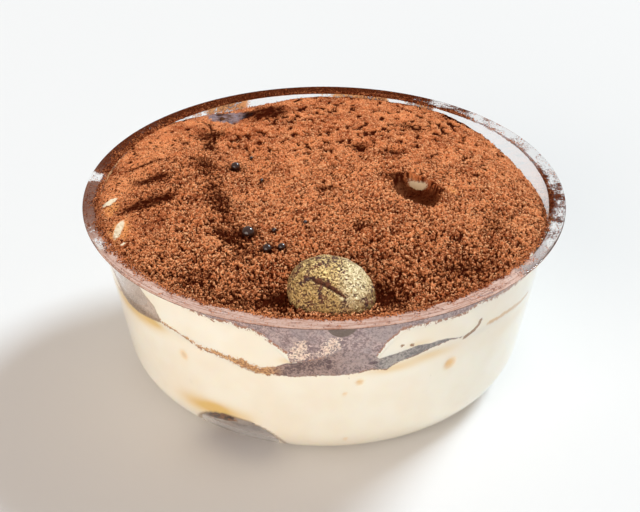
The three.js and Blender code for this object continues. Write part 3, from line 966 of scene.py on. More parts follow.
# Ochre spots and bubbles: place in degrees, height above the rim's plane, half width and half
# height in millimetres, and strength.
OCHRE_SPOTS = [
    (-57, -12.2, 7, 1.7, 1.0),
    (-48, -11.3, 3, 1.0, 0.9),
    (-68, -11.4, 5, 2.4, 0.7),
    (-36, -27.8, 5.0, 1.9, 0.9),
    (-30, -27.0, 3.0, 1.5, 1.0),
    (-23, -27.6, 3.0, 1.8, 0.5),
    (17, -13.4, 5, 1.0, 0.6),
    (27, -12.2, 5, 1.1, 0.6),
    (24, -8.6, 2.6, 0.9, 0.35),
    (-8, -10.6, 2.0, 0.9, 0.5),
    (62, -15.0, 9, 2.0, 0.15),
]
BUBBLES = [
    (-38.5, -15.8, 0.9, 1.1, 0.55),
    (34.0, -16.3, 1.25, 1.25, 1.0),
    (9.0, -15.9, 0.75, 0.65, 0.8),
    (5.3, -18.8, 0.45, 0.4, 0.5),
    (6.0, -31.0, 0.5, 0.4, 0.4),
    (118.0, -20.0, 1.1, 1.0, 0.7),
    (-150.0, -17.5, 0.9, 1.0, 0.6),
    (171.0, -24.0, 1.2, 1.0, 0.7),
]
BUBBLE_DEPTH = 0.35
DEEP_HOLLOW = 4.0  # a hollow this deep is fully shaded


def spots(x, y, level, places, hardness=1):
    """How strongly each point at the wall is covered by soft round spots, from 0 to 1."""
    angle, radius, _ = polar(x, y)
    total = np.zeros_like(x)
    for at, height, wide, tall, strength in places:
        away = np.radians((angle - at + 180) % 360 - 180) * radius
        distance = (away / wide) ** 2 + ((level - height) / tall) ** 2
        total += strength * np.exp(-(distance**hardness))
    return np.minimum(total, 1)


def mark_cream(bm, pressed=0.0):
    """Stores the tints of a cream at its vertices, and presses its bubbles in."""
    x, y, z = coordinates(bm)
    level = z - RIM_HEIGHT
    bubbles = spots(x, y, level, BUBBLES, hardness=2)
    for vert, dent in zip(bm.verts, bubbles):
        if dent > 0.01:
            vert.co.xy *= 1 - BUBBLE_DEPTH * dent / vert.co.xy.length
    store(bm, "ochre_spot", spots(x, y, level, OCHRE_SPOTS))
    store(bm, "bubble", bubbles)
    store(bm, "hollow", np.broadcast_to(np.minimum(pressed / DEEP_HOLLOW, 1), x.shape))
    inside, _, _ = within_pocket(x, y, level, FOOT_POCKET)
    store(bm, "hollow_rim", smoothstep(inside, -0.20, -0.06) * (1 - smoothstep(inside, 0.0, 0.1)))
    mark_wall(bm)


def sponge_reach(angle):
    return SPONGE_RADIUS + swell_sum(angle, SPONGE_SWELLS)


def cream_floor(x, y):
    """The underside of the lower cream: the bowl's floor, raised over the sponge."""
    angle, radius, _ = polar(x, y)
    on_sponge = 1 - smoothstep(radius - sponge_reach(angle), -0.2, 0.6)
    return FOOD_FLOOR - RIM_HEIGHT + (SPONGE_TOP - FOOD_FLOOR) * on_sponge


# %% Finish of the cream
CREAM = colour(251, 245, 230)
DEEPER_CREAM = colour(247, 238, 220)
# Ochre tint of the spots at the wall.
SPOT_OCHRE = colour(228, 194, 118)
BUBBLE_OCHRE = colour(238, 190, 104)
SHADE_IN_HOLLOW = colour(158, 148, 142)
HOLLOW_EDGE_BROWN = colour(120, 84, 50)
SOAKED_CRUMB = (colour(40, 16, 5), colour(150, 98, 56))
CRUMB_STARTS = (-23.0, -22.0)  # X between which sponge sticks to the cream in the hollow
CRUMB_ENDS = (-15.8, -17.6)


def cream_base(finish):
    """Cream with its ochre spots and bubbles, and painted shade where it is hollow."""
    base = finish.mixed(finish.noise(9).ramp(0.3, 0.7), CREAM, DEEPER_CREAM)
    base = finish.mixed(finish.kept("ochre_spot"), base, SPOT_OCHRE)
    base = finish.mixed(finish.kept("bubble"), base, BUBBLE_OCHRE)
    across = finish.across() + finish.noise(2.0) * 2.0 - 1.0
    crumb_sticks = across.ramp(*CRUMB_STARTS) * across.ramp(*CRUMB_ENDS)
    pores = finish.noise(0.8, detail=3.0).ramp(0.38, 0.62)
    hollow = finish.mixed(crumb_sticks, SHADE_IN_HOLLOW, finish.mixed(pores, *SOAKED_CRUMB))
    base = finish.mixed(finish.kept("hollow").ramp(0.01, 0.06), base, hollow)
    return finish.mixed(finish.kept("hollow_rim") * 0.75, base, HOLLOW_EDGE_BROWN)


finish = Finish("mascarpone_cream")
cream_finish = finish.shown(wall_shader(finish, cream_base(finish)))

# %% Lower cream and upper cream
bm = unit_slab(rings=14, rows=40)
pressed = fill_between(bm, cream_floor, seam_floor, FOOD_INSET, FOOT_POCKET)
mark_cream(bm, pressed)
finished(bm, "lower_cream", cream_finish, ["cream_lower"])

bm = unit_slab(rings=12, rows=22)
fill_between(bm, seam_top, upper_cream_shown, FOOD_INSET, SIDE_POCKET)
mark_cream(bm)
finished(bm, "upper_cream", cream_finish, ["cream_upper"])

# %% [markdown]
# ## The sponge
# Only one end of the sponge shows, in the pocket at the foot. It is a slab with a torn outline and
# coarse pores, so its sides are moved in and out by noise, and cells darken and dent it.

# %% Sponge
TEAR = 0.9
TEAR_SIZE = 2.2
SPONGE_SEGMENTS = 360
SPONGE_ROUNDING = 0.02  # as a part of its radius
SPONGE_SIDE = (0.12, 0.88)  # where its upright side starts and ends, as parts of its height
SPONGE_CRUMB = (colour(74, 40, 18), colour(160, 112, 66))
WET_SHADE_STARTS = (-17.2, -16.0)  # X from which it is wet through and painted in the shade of the hollow

finish = Finish("soaked_sponge")
crumb = finish.cells(0.9)
sponge_base = finish.mixed(crumb.ramp(0.1, 0.6), *SPONGE_CRUMB)
# Painted shade: from this X on, the sponge takes the shaded colour of the hollow.
wet_and_painted_light = (finish.across() + finish.noise(2.0) * 2.0 - 1.0).ramp(*WET_SHADE_STARTS)
sponge_base = finish.mixed(wet_and_painted_light, sponge_base, SHADE_IN_HOLLOW)
sponge_finish = finish.shown(
    finish.principled(
        base_color=sponge_base, roughness=0.6, normal=finish.bump(crumb, 0.6, 0.6), coat_weight=0.2
    )
)
side_start, side_end = SPONGE_SIDE
corner_at = 1 - SPONGE_ROUNDING
sponge_profile = [
    (0, 0),
    *arc((corner_at, side_start), SPONGE_ROUNDING, -90, 0, 2),
    *[(1.0, height) for height in np.linspace(side_start, side_end, 8)[1:-1]],
    *arc((corner_at, side_end), SPONGE_ROUNDING, 0, 90, 2),
    (0, 1),
]
bm = spun(sponge_profile, SPONGE_SEGMENTS)
x, y, part = coordinates(bm)
reach = sponge_reach(polar(x, y)[0])
for vert, each in zip(bm.verts, reach):
    place = Vector((vert.co.x * each, vert.co.y * each, vert.co.z * 5)) / TEAR_SIZE
    torn = noise.fractal(place, 1, 2, 3)
    vert.co.x *= each + TEAR * (torn - 0.3)
    vert.co.y *= each + TEAR * (torn - 0.3)
    vert.co.z = FOOD_FLOOR + vert.co.z * (SPONGE_TOP - FOOD_FLOOR)
finished(bm, "sponge_base", sponge_finish, ["sponge"])

# %% [markdown]
# ## The cocoa
# The coat of cocoa is the heart of the piece. Its broad form is the same dome, mounds, trough and
# pit as in the frame. On top of that come lumps, made from the distance to scattered points, and
# pores: sifted powder clumps, and between the clumps it is loose and full of small dark holes. The
# disc is a grid that is bent round: its cells stay nearly even, whereas a spun disc would be far
# too fine in the middle.

# %% Form of the cocoa
MOUNDS = [
    (-28, 2, 10, 1.2),
    (16, -12, 15, 0.9),
    (10, 26, 12, 0.5),
    (24, 22, 9, 0.5),
    (-11, 36, 4.2, 1.0),
    (-20, 33.5, 4.4, -1.4),
    (18.2, 6.6, 3.6, 0.9),
    (8, 16, 3, -0.6),
    (14.5, 14.4, 2.6, -0.5),
    (3.7, -1, 2.2, -0.5),
    (-36, 5, 2.6, -0.5),
    (-26, -6.5, 2.8, -0.5),
    (-19, -14, 2.8, -0.5),
    (13.5, -37, 4.2, -1.4),
    (-9, -36, 4.6, -1.1),
    (1, -31, 6, -1.0),
]
TROUGH_DEPTH = 1.3
TROUGH_WIDTH = 6
TROUGH_ENDS = ((-21, 34), (-9, -26))
PIT_PLACE = (18.2, -1.9)
PIT_HALF = (4.3, 6.6, 3.7)
PIT_TURN = 25
BEAN_HALF = (8.2, 6.9, 3.9)
BEAN_PLACE = (1.3, -37.5, 1.0)
BEAN_FACE_TILT = 45
BEAN_TURN = 19


def bean_frame():
    """Along, across and out of the face of the bean, as the columns of a rotation."""
    tilt, turn = math.radians(BEAN_FACE_TILT), math.radians(BEAN_TURN)
    face = Vector((0, -math.cos(tilt), math.sin(tilt)))
    down = Vector((0, -math.sin(tilt), -math.cos(tilt)))
    along = Vector((math.cos(turn), 0, 0)) + down * math.sin(turn)
    return Matrix((along, face.cross(along), face)).transposed()


BEAN_MIDDLE = Vector((BEAN_PLACE[0], BEAN_PLACE[1], RIM_HEIGHT + BEAN_PLACE[2]))
BEAN_AXES = np.array(bean_frame())
NO_BEAN = 99  # the height given where no bean lies above


def broad_form(x, y):
    """The top of the cocoa above the rim's plane, without its grain."""
    angle, _, out = polar(x, y)
    level = COCOA_EDGE + swell_sum(angle, COCOA_EDGE_SWELLS) * out**SHOULDER_POWER
    level += COCOA_DOME * (1 - out**3)
    calm = np.sqrt(1 - out**SHOULDER_POWER)
    for at_x, at_y, reach, rise in MOUNDS:
        level += calm * rise * np.exp(-((x - at_x) ** 2 + (y - at_y) ** 2) / reach**2)
    (from_x, from_y), (to_x, to_y) = TROUGH_ENDS
    along = np.clip((y - from_y) / (to_y - from_y), 0, 1)
    middle = from_x + (to_x - from_x) * along
    trough = np.sin(np.pi * along) * np.exp(-(((x - middle) / TROUGH_WIDTH) ** 2))
    return level - calm * TROUGH_DEPTH * trough


def bean_underside(x, y, margin):
    """Height of the underside of the bean, grown by a margin, or a great height beside it."""
    halves = np.array(BEAN_HALF) + margin
    form = BEAN_AXES @ np.diag(1 / halves**2) @ BEAN_AXES.T
    dx, dy = x - BEAN_MIDDLE.x, y - BEAN_MIDDLE.y
    a = form[2, 2]
    b = form[0, 2] * dx + form[1, 2] * dy
    c = form[0, 0] * dx**2 + 2 * form[0, 1] * dx * dy + form[1, 1] * dy**2 - 1
    inside = b**2 - a * c
    lowest = BEAN_MIDDLE.z - RIM_HEIGHT - (b + np.sqrt(np.maximum(inside, 0))) / a
    return np.where(inside > 0, lowest, NO_BEAN)


def in_pit(x, y):
    """1 in the middle of the pit, 0 on its outline and less outside it."""
    turn = math.radians(PIT_TURN)
    away_x, away_y = x - PIT_PLACE[0], y - PIT_PLACE[1]
    across = (away_x * math.cos(turn) + away_y * math.sin(turn)) / PIT_HALF[0]
    along = (away_y * math.cos(turn) - away_x * math.sin(turn)) / PIT_HALF[1]
    return 1 - across**2 - along**2


# %% [markdown]
# ## Where the cocoa differs from place to place
# The powder lies smooth along the left and the back, and coarse, loose and darkened by painted
# shade at the front, in the trough and round the bean. It is bare where the cream pokes through at
# the left, in a halo of thin powder, and damp in one spot at the back, with a painted sheen on its
# left part. Patches are soft ovals: their place, their half sizes along and across, the turn of
# their long side in degrees, and a strength.

# %% Patches on the cocoa
# Patches of painted shade, where the powder also lies looser.
SHADED = [
    (-23.9, 8, 5.5, 2.0, 105, 0.7),
    (-20.2, -6, 6.0, 2.2, 105, 0.8),
    (-15.8, -20.2, 5.5, 2.0, 100, 0.6),
    (-24, 20, 5.0, 1.5, 110, 0.5),
    (-23.5, -32.5, 5.0, 2.4, -30, 0.35),
    (-14.1, -38.9, 5.0, 2.0, -15, 0.5),
    (-7.6, -37.8, 3.0, 3.2, 0, 1.1),
    (11.0, -37.2, 3.0, 3.2, 0, 1.1),
    (1, -30.0, 7.5, 1.4, 0, 0.5),
    (0.2, -1.0, 1.5, 1.1, 0, 0.9),
    (7.4, 17.3, 2.0, 1.2, 0, 0.8),
    (14.1, 14.4, 1.8, 1.2, 0, 0.7),
    (18.2, 25.4, 3.5, 1.3, -20, 0.6),
    (7.2, -15.3, 2.0, 1.3, 0, 0.5),
    (26, -28, 6, 3, 30, 0.4),
    (33, -12, 5, 2, 60, 0.3),
    (-34.5, 3.7, 3.0, 1.2, 20, 1.5),
    (-36.2, -5.9, 3.0, 1.4, 20, 1.2),
    (-31.6, -4.4, 2.4, 1.2, 25, 1.2),
    (-36.5, 11.0, 3.0, 0.6, 25, 1.2),
    (-19.3, -17.1, 3.0, 1.2, 120, 0.9),
    (-23.0, 24.5, 2.4, 2.2, 0, 0.9),
    (-11.9, 33.6, 3.4, 2.5, 0, 1.5),
    (-15.8, 35.0, 1.6, 1.6, 0, 1.3),
    (-34, 0, 16, 8, 80, 0.24),
    (-41.4, -26.6, 3.0, 1.5, -60, 0.5),
]
SMOOTH = [
    (-40, 8, 22, 7.5, 80, 1.2),
    (-36, -14, 9, 5, 90, 0.8),
    (-22, 33, 15, 5, 25, 1.0),
    (14, 40, 20, 4, 0, 0.6),
    (36, 22, 14, 4, -50, 0.5),
]
BARE = [
    (-42.1, -2.8, 1.9, 0.75, 47, 1.2),
    (-39.3, -13.4, 2.7, 0.85, 79, 1.2),
    (-38.0, -18.3, 1.0, 0.5, 60, 0.8),
]
HALO = [
    (-41.6, -5.4, 2.6, 1.5, 80, 1.2),
    (-39.4, -14.9, 4.2, 2.1, 80, 1.2),
    (25.2, -0.8, 1.6, 0.8, 100, 1.2),
]
DAMP = [(-20.4, 35.4, 4.6, 2.4, 5, 1.2)]
PALE_IN_PIT = [(18.6, 2.9, 2.2, 0.5, -28, 1.2)]
# Painted shade inside the pit.
SHADOW_IN_PIT = [(18.2, 0.4, 5.2, 1.4, -28, 1.5), (14.6, 3.4, 1.2, 1.2, 0, 1.0)]
# Beads of coffee: place and radius.
BEADS = [
    (-14.35, -17.3, 1.25), (-17.9, 9.3, 0.95), (-10.6, -23, 0.9), (-7.9, -22.4, 0.75),
    (-12.5, 3.9, 0.4), (-3.6, -14.0, 0.4), (-9.5, -15.9, 0.45), (-14.9, 13.5, 0.35),
]
# Painted shade darkens the right rear edge of the cocoa.
EDGE_SHADE = [(108, 44, 0.9)]  # a swell: where the edge of the cocoa is dark
# Painted shade round each bead.
BEAD_SHADES = [(x, y, 2.0 * radius, 1.6 * radius, 0, 0.8) for x, y, radius in BEADS]


def patches(x, y, places):
    """How strongly each point is covered by soft ovals, from 0 to 1."""
    total = np.zeros_like(x)
    for at_x, at_y, half_along, half_across, turn, strength in places:
        cos, sin = math.cos(math.radians(turn)), math.sin(math.radians(turn))
        along = ((x - at_x) * cos + (y - at_y) * sin) / half_along
        across = ((y - at_y) * cos - (x - at_x) * sin) / half_across
        total += strength * np.exp(-(along**2) - across**2)
    return np.clip(total, 0, 1)


def coarseness(x, y):
    """1 where the grain is coarse, at the front, and less where the cocoa lies smooth."""
    front = 1 - smoothstep(y, -34, 4)
    return np.clip(0.62 + 0.4 * front - 0.75 * patches(x, y, SMOOTH), 0.05, 1)


def shade(x, y):
    """0 where the cocoa has no painted shade and 1 where it is loose and darkest with painted shade.
    """
    # Painted shade: at the front, in the patches and round the beads, in the pit and along the edge.
    front = 1 - smoothstep(y, -42, -6)
    inside = 0.70 * smoothstep(in_pit(x, y), -0.25, 0.5) + patches(x, y, SHADOW_IN_PIT)
    angle, _, out = polar(x, y)
    at_edge = smoothstep(out, 0.975, 0.995) * swell_sum(angle, EDGE_SHADE)
    return np.clip(0.12 * front + patches(x, y, SHADED + BEAD_SHADES) + inside + at_edge, 0, 1)


# %% [markdown]
# ## Grain
# The grain is made of rounded lumps at two sizes, low heaps, and a field of clumps whose hollows
# become pores. The clumps are fine at the front and larger at the back. The mesh, the crumbs and
# the colour all ask the same functions, so that the crumbs gather on the clumps and the pores
# between them stay open and dark. A layer is any number: each gives another pattern.

# %% Grain of the cocoa
FRONT_CLUMPS = 0.52
BACK_CLUMPS = 1.25
HEAP_SIZE = 5.0
HEAP_RISE = 0.46
# Size of the lumps, their layer, their height on smooth powder and how much more on coarse powder.
LUMPS = [(2.2, 3.1, 0.05, 0.13), (0.9, 7.7, 0.05, 0.12)]
PIT_RAGGED = (0.10, 2.2)  # how far the outline of the pit strays, and the size of its bays
BEAN_ROOM = 0.05  # between the bean and the cocoa under it


def scattered(x, y, size, layer):
    """Rounded lumps about size across: 1 on their tops and 0 in the cracks between them."""
    nearest = [noise.voronoi(Vector((a, b, layer)))[0][0] for a, b in zip(x / size, y / size)]
    return np.clip(1 - (np.array(nearest) / 0.8) ** 2, 0, 1)


def blotches_at(x, y, size, layer):
    """Soft noise round 0 whose blotches are about size across."""
    return np.array(
        [noise.fractal(Vector((a, b, layer)), 1, 2, 3) for a, b in zip(x / size, y / size)]
    )


def softness(y):
    """0 at the front and 1 at the back, where the powder lies in soft heaps."""
    return smoothstep(y, -6, 34)


def clumping(x, y):
    """0 in the pores of the powder and 1 on its clumps."""
    loose = 0.12 + 0.36 * shade(x, y) - 0.28 * (1 - coarseness(x, y))
    soft = softness(y)
    fine, wide = blotches_at(x, y, FRONT_CLUMPS, 12.3), blotches_at(x, y, BACK_CLUMPS, 9.6)
    field = (1 - soft) * fine + soft * wide
    return smoothstep(field - loose, -0.30, -0.04)


def grain(x, y, clumps):
    """How far the grain stands above the broad form, given the clumping there."""
    coarse = coarseness(x, y)
    relief = np.zeros_like(x)
    for size, layer, least, more in LUMPS:
        relief += (least + more * coarse) * (scattered(x, y, size, layer) - 0.5)
    relief += HEAP_RISE * blotches_at(x, y, HEAP_SIZE, 5.5)
    return relief + (0.25 + 0.30 * coarse) * (clumps - 1)


def cocoa_surface(x, y, clumps):
    """The top of the cocoa with its grain, the pit and the place where the bean lies."""
    _, _, out = polar(x, y)
    level = broad_form(x, y) + grain(x, y, clumps) * (1 - 0.75 * out**30)
    stray, bay = PIT_RAGGED
    inside = in_pit(x, y) + stray * blotches_at(x, y, bay, 8.8)
    centre = broad_form(np.array([PIT_PLACE[0]]), np.array([PIT_PLACE[1]]))[0]
    bottom = centre - PIT_HALF[2] * np.sqrt(np.maximum(inside, 0)) + 0.3 * (level - centre)
    level = np.where(inside > 0, np.minimum(level, bottom), level)
    return np.minimum(level, bean_underside(x, y, BEAN_ROOM))


# %% The coat of cocoa as a mesh
COCOA_CELLS = 280
COCOA_INSET = FOOD_INSET + 0.01
SKIRT_ROWS = 11
UNDERLAP = 0.25  # how far the cocoa reaches into the cream, so that no gap shows
UNDERSIDE_RINGS = (0.95, 0.8, 0.55, 0.3, 0.1)


def round_disc(cells):
    """A square grid bent into a disc of radius 1 whose cells stay nearly even."""
    bm = bmesh.new()
    bmesh.ops.create_grid(bm, x_segments=cells, y_segments=cells, size=1.0)
    x, y, _ = coordinates(bm)
    bent = zip(x * np.sqrt(1 - y**2 / 2), y * np.sqrt(1 - x**2 / 2))
    for vert, (place_x, place_y) in zip(bm.verts, bent):
        vert.co = (place_x, place_y, 0)
    return bm


def pulled_out(bm, edges):
    """Extrudes a loop of edges and gives the new edges and vertices."""
    made = bmesh.ops.extrude_edge_only(bm, edges=edges)["geom"]
    return (
        [each for each in made if isinstance(each, bmesh.types.BMEdge)],
        [each for each in made if isinstance(each, bmesh.types.BMVert)],
    )


bm = round_disc(COCOA_CELLS)
x, y, _ = coordinates(bm)
edge_level = broad_form(x * MOUTH_RADIUS, y * MOUTH_RADIUS)
reach = wall_radius(RIM_HEIGHT + np.minimum(edge_level, 0), COCOA_INSET)
x, y = x * reach, y * reach
level = cocoa_surface(x, y, clumping(x, y))
for vert, place in zip(bm.verts, zip(x, y, RIM_HEIGHT + level)):
    vert.co = place

loop = [edge for edge in bm.edges if edge.is_boundary]
for row in range(SKIRT_ROWS, 0, -1):
    loop, ring = pulled_out(bm, loop)
    x, y, z = np.array([vert.co[:] for vert in ring]).T
    z = z + (RIM_HEIGHT + lowest_cocoa(x, y) - UNDERLAP - z) / row
    shrink = wall_radius(np.minimum(z, RIM_HEIGHT), COCOA_INSET) / np.hypot(x, y)
    for vert, place in zip(ring, zip(x * shrink, y * shrink, z)):
        vert.co = place
for part in UNDERSIDE_RINGS:
    loop, ring = pulled_out(bm, loop)
    x, y, _ = np.array([vert.co[:] for vert in ring]).T
    shrink = part * MOUTH_RADIUS / np.hypot(x, y)
    x, y = x * shrink, y * shrink
    for vert, place in zip(ring, zip(x, y, RIM_HEIGHT + lowest_cocoa(x, y) - UNDERLAP)):
        vert.co = place
middle = RIM_HEIGHT + lowest_cocoa(np.zeros(1), np.zeros(1))[0] - UNDERLAP
bmesh.ops.pointmerge(bm, verts=ring, merge_co=(0, 0, middle))
print("cocoa:", len(bm.faces), "faces")

# %% What the coat of cocoa keeps for its finish
x, y, z = coordinates(bm)
at_wall = np.hypot(x, y) > wall_radius(np.minimum(z, RIM_HEIGHT), COCOA_INSET) - 0.05
below_top = broad_form(x, y) - (z - RIM_HEIGHT)
under_rim = smoothstep(RIM_HEIGHT - z, 0.0, 0.5)
store(bm, "at_wall", at_wall * smoothstep(below_top, 0.1, 0.5) * under_rim)
mark_wall(bm)
store(bm, "pore", (1 - clumping(x, y)) * (1 - 0.8 * smoothstep(in_pit(x, y), -0.1, 0.3)))
store(bm, "shade", shade(x, y))
store(bm, "smooth", 1 - coarseness(x, y))
store(bm, "bare", patches(x, y, BARE + PALE_IN_PIT))
store(bm, "halo", patches(x, y, HALO))
store(bm, "damp", patches(x, y, DAMP))

# %% [markdown]
# ## Colour of the cocoa
# Dry powder is a warm mid brown. It looks paler where it lies in fine dust, and its pores and
# shaded patches are painted nearly black, as painted shade where hardly any light gets out again.
# Behind the plastic it is pressed flat and misty, so it turns to a greyed mauve there, with a thin
# brown line where it meets the cream.

# %% Finish of the cocoa
# Painted shade: the near black of the pores and of the shaded patches.
PORE_SHADE_BROWN = colour(66, 20, 5)
LUMP_BROWN = (colour(166, 80, 44), colour(210, 112, 62))
DUST_BROWN = colour(250, 168, 112)
HALO_ORANGE = colour(248, 172, 104)
BARE_CREAM = colour(255, 240, 210)
# Bare cream in the pit, darkened by painted shade.
SHADED_CREAM_IN_PIT = colour(206, 176, 134)
DAMP_DARK = colour(30, 16, 14)
# A painted sheen on the left part of the damp spot, where it turns pale and greyed.
PAINTED_DAMP_SHEEN = colour(142, 130, 138)
PAINTED_SHEEN_ENDS = (-16.5, -18.5)  # X at which the damp spot turns dark


def cocoa_tones(finish):
    """The browns of cocoa powder: redder lumps and paler dust, at two sizes."""
    broad = finish.noise(11, detail=2.0)
    heaps = finish.noise(3.8, detail=3.0)
    small = finish.noise(0.36, detail=3.0, roughness=0.75)
    tone = (broad * 0.35 + heaps * 0.5 + small * 0.9 - 0.41).ramp(0.24, 0.70)
    lumps = finish.mixed(heaps.ramp(0.35, 0.65), *LUMP_BROWN)
    return finish.mixed(tone, lumps, DUST_BROWN)


finish = Finish("cocoa_powder")
grit = finish.noise(0.26, detail=4.0, roughness=0.75)
holes = finish.noise(0.45, detail=2.0, roughness=0.6)
holes = (holes + finish.kept("smooth") * 0.25).ramp(0.48, 0.36)
shaded = finish.kept("shade")
# Painted shade: the pores, the small holes and the shaded patches are darkened towards near black.
pore_shade = (finish.kept("pore") * 0.9 + holes * 0.7 + shaded * 0.3).ramp(0.15, 0.9)
base = finish.mixed(pore_shade, cocoa_tones(finish), PORE_SHADE_BROWN)
base = finish.mixed(shaded * 0.75, base, PORE_SHADE_BROWN)
halo = (finish.kept("halo") + grit * 0.6 - 0.3).ramp(0.15, 0.8)
base = finish.mixed(halo * 0.85, base, HALO_ORANGE)
bare = (finish.kept("bare") + grit * 0.9 - 0.45).ramp(0.35, 0.62)
base = finish.mixed(bare, base, finish.mixed(shaded, BARE_CREAM, SHADED_CREAM_IN_PIT))
wet_and_painted_light = finish.noise(1.5, detail=3.0)
damp = (finish.kept("damp") + grit * 0.5 + wet_and_painted_light * 0.6 - 0.55).ramp(0.2, 0.55)
# Painted sheen on the damp spot, left of the X given.
painted_sheen = wet_and_painted_light.ramp(0.35, 0.62) * finish.across().ramp(*PAINTED_SHEEN_ENDS)
base = finish.mixed(damp * 0.9, base, finish.mixed(painted_sheen, DAMP_DARK, PAINTED_DAMP_SHEEN))
powder = finish.principled(
    base_color=base,
    roughness=0.95 - damp * 0.5,
    specular_ior_level=0.02,
    normal=finish.bump(grit - pore_shade * 0.5, 0.8, 0.2),
)
pressed_flat = wall_shader(finish, CREAM)
coat = finish.node("MixShader", None, {0: finish.kept("at_wall"), 1: powder, 2: pressed_flat})
cocoa_finish = finish.shown(coat)
finished(bm, "cocoa_coat", cocoa_finish, ["cocoa_top"], sharp=0)

# %% [markdown]
# ## Loose crumbs of cocoa
# Real powder clumps into crumbs that lie on each other and throw tiny shadows. A relief alone never
# overhangs, so crumbs are scattered on the coat as true small solids. A few rough shapes are made
# once with bmesh, and arrays then turn, size and place thousands of copies, joined in one mesh for
# each kind. Every draw comes from a seeded generator, so each run gives the same crumbs.

# %% Scattering
random = np.random.default_rng(20)


def rough_shapes(count, sides):
    """Small uneven solids of radius about 1, with 8 or 20 sides: points and triangles of each."""
    shapes = []
    for _ in range(count):
        bm = bmesh.new()
        if sides == 20:
            bmesh.ops.create_icosphere(bm, subdivisions=1, radius=1.0)
        else:
            bmesh.ops.create_uvsphere(bm, u_segments=4, v_segments=2, radius=1.0)
        bmesh.ops.triangulate(bm, faces=bm.faces)
        for vert in bm.verts:
            vert.co *= random.uniform(0.72, 1.18)
        points = np.array([vert.co[:] for vert in bm.verts])
        faces = np.array([[vert.index for vert in face.verts] for face in bm.faces])
        shapes.append((points, faces))
        bm.free()
    return shapes


def random_turns(count):
    """Random rotations as an array of matrices."""
    drawn = random.normal(size=(4, count))
    w, x, y, z = drawn / np.linalg.norm(drawn, axis=0)
    rows = [
        [1 - 2 * (y * y + z * z), 2 * (x * y - z * w), 2 * (x * z + y * w)],
        [2 * (x * y + z * w), 1 - 2 * (x * x + z * z), 2 * (y * z - x * w)],
        [2 * (x * z - y * w), 2 * (y * z + x * w), 1 - 2 * (x * x + y * y)],
    ]
    return np.moveaxis(np.array(rows), 2, 0)


def scatter(name, shapes, places, radii, tones, material):
    """Copies of rough shapes at places in millimetres, joined in one piece."""
    turns = random_turns(len(places))
    stretch = random.uniform((1.0, 0.6, 0.6), (2.1, 1.05, 1.05), (len(places), 3)) * radii[:, None]
    points, faces, tone, start = [], [], [], 0
    for which, (shape, triangles) in enumerate(shapes):
        mine = slice(which, None, len(shapes))
        moved = (shape[None] * stretch[mine][:, None]) @ np.swapaxes(turns[mine], 1, 2)
        moved += places[mine][:, None]
        offsets = start + len(shape) * np.arange(len(moved))
        points.append(moved.reshape(-1, 3))
        faces.append((triangles[None] + offsets[:, None, None]).reshape(-1, 3))
        tone.append(np.repeat(tones[mine], len(shape)))
        start += len(moved) * len(shape)
    mesh = bpy.data.meshes.new(name)
    mesh.from_pydata(np.concatenate(points) * MM, [], np.concatenate(faces))
    mesh.attributes.new("tone", "FLOAT", "POINT").data.foreach_set("value", np.concatenate(tone))
    return placed(mesh, name, material, sharp=0)


# %% Finish of the crumbs
CRUMB_BRIGHT = colour(255, 192, 140)
CRUMB_DARK = colour(76, 20, 3)

finish = Finish("cocoa_crumbs")
tone = finish.kept("tone")
crumb_colour = finish.mixed(tone.ramp(0.35, 0.85), cocoa_tones(finish), CRUMB_BRIGHT)
crumb_colour = finish.mixed(tone.ramp(0.45, 0.05) * 0.95, crumb_colour, CRUMB_DARK)
crumb_bump = finish.bump(finish.noise(0.12), 0.5, 0.06)
crumb_finish = finish.shown(
    finish.principled(
        base_color=crumb_colour, roughness=0.95, specular_ior_level=0.03, normal=crumb_bump
    )
)

# %% [markdown]
# ## Where the crumbs lie
# The crumbs gather on the clumps. Few lie in the pores and in the pit, and none on the bare and
# damp spots or under the bean. Those in the shade are darker, and on the smooth powder the large
# ones are few.

# %% Crumbs on the coat
# Each kind of crumb: how many, their smallest and largest radius, their sides, and how far they
# are thinned out on smooth powder.
CRUMB_KINDS = {
    "cocoa_lumps": (3000, 0.17, 0.29, 20, 1.0),
    "cocoa_crumbs": (24500, 0.13, 0.25, 8, 0.85),
    "cocoa_grains": (24500, 0.10, 0.19, 8, 0.5),
    "cocoa_dust": (24500, 0.07, 0.14, 8, 0.2),
    "cocoa_fines": (20000, 0.06, 0.12, 8, 0.0),
}
TRIES = 4  # places drawn for each crumb that is wanted


def crumbs_on_cocoa(count, smallest, largest, bareness):
    """Places, radii and tones of crumbs; bareness thins them out where the cocoa is smooth."""
    tries = count * TRIES
    radius = np.sqrt(random.uniform(0, 1, tries)) * (MOUTH_RADIUS - 0.1 - largest)
    angle = random.uniform(0, 2 * math.pi, tries)
    x, y = radius * np.sin(angle), -radius * np.cos(angle)
    size = smallest + (largest - smallest) * random.beta(1.6, 2.6, tries)
    clumps = clumping(x, y)
    chance = (0.12 + 0.88 * clumps**1.5) * (1 - bareness * (1 - coarseness(x, y)))
    keep = random.uniform(0, 1, tries) < chance
    keep &= patches(x, y, BARE + PALE_IN_PIT + DAMP) < random.uniform(0.2, 0.6, tries)
    keep &= bean_underside(x, y, 2 * BEAN_ROOM) == NO_BEAN
    keep &= random.uniform(0.0, 1.5, tries) > in_pit(x, y)
    x, y, size, clumps = (each[keep][:count] for each in (x, y, size, clumps))
    z = RIM_HEIGHT + cocoa_surface(x, y, clumps) + size * random.uniform(-0.2, 0.45, len(x))
    tones = 0.5 + (random.uniform(0, 1, len(x)) - 0.5) * (1 - 0.5 * softness(y))
    # Painted shade: crumbs in the shaded places and in the pores are darker.
    tones = np.clip(tones - 0.75 * shade(x, y) - 0.5 * (1 - clumps), 0, 1)
    return np.stack([x, y, z], axis=1), size, tones


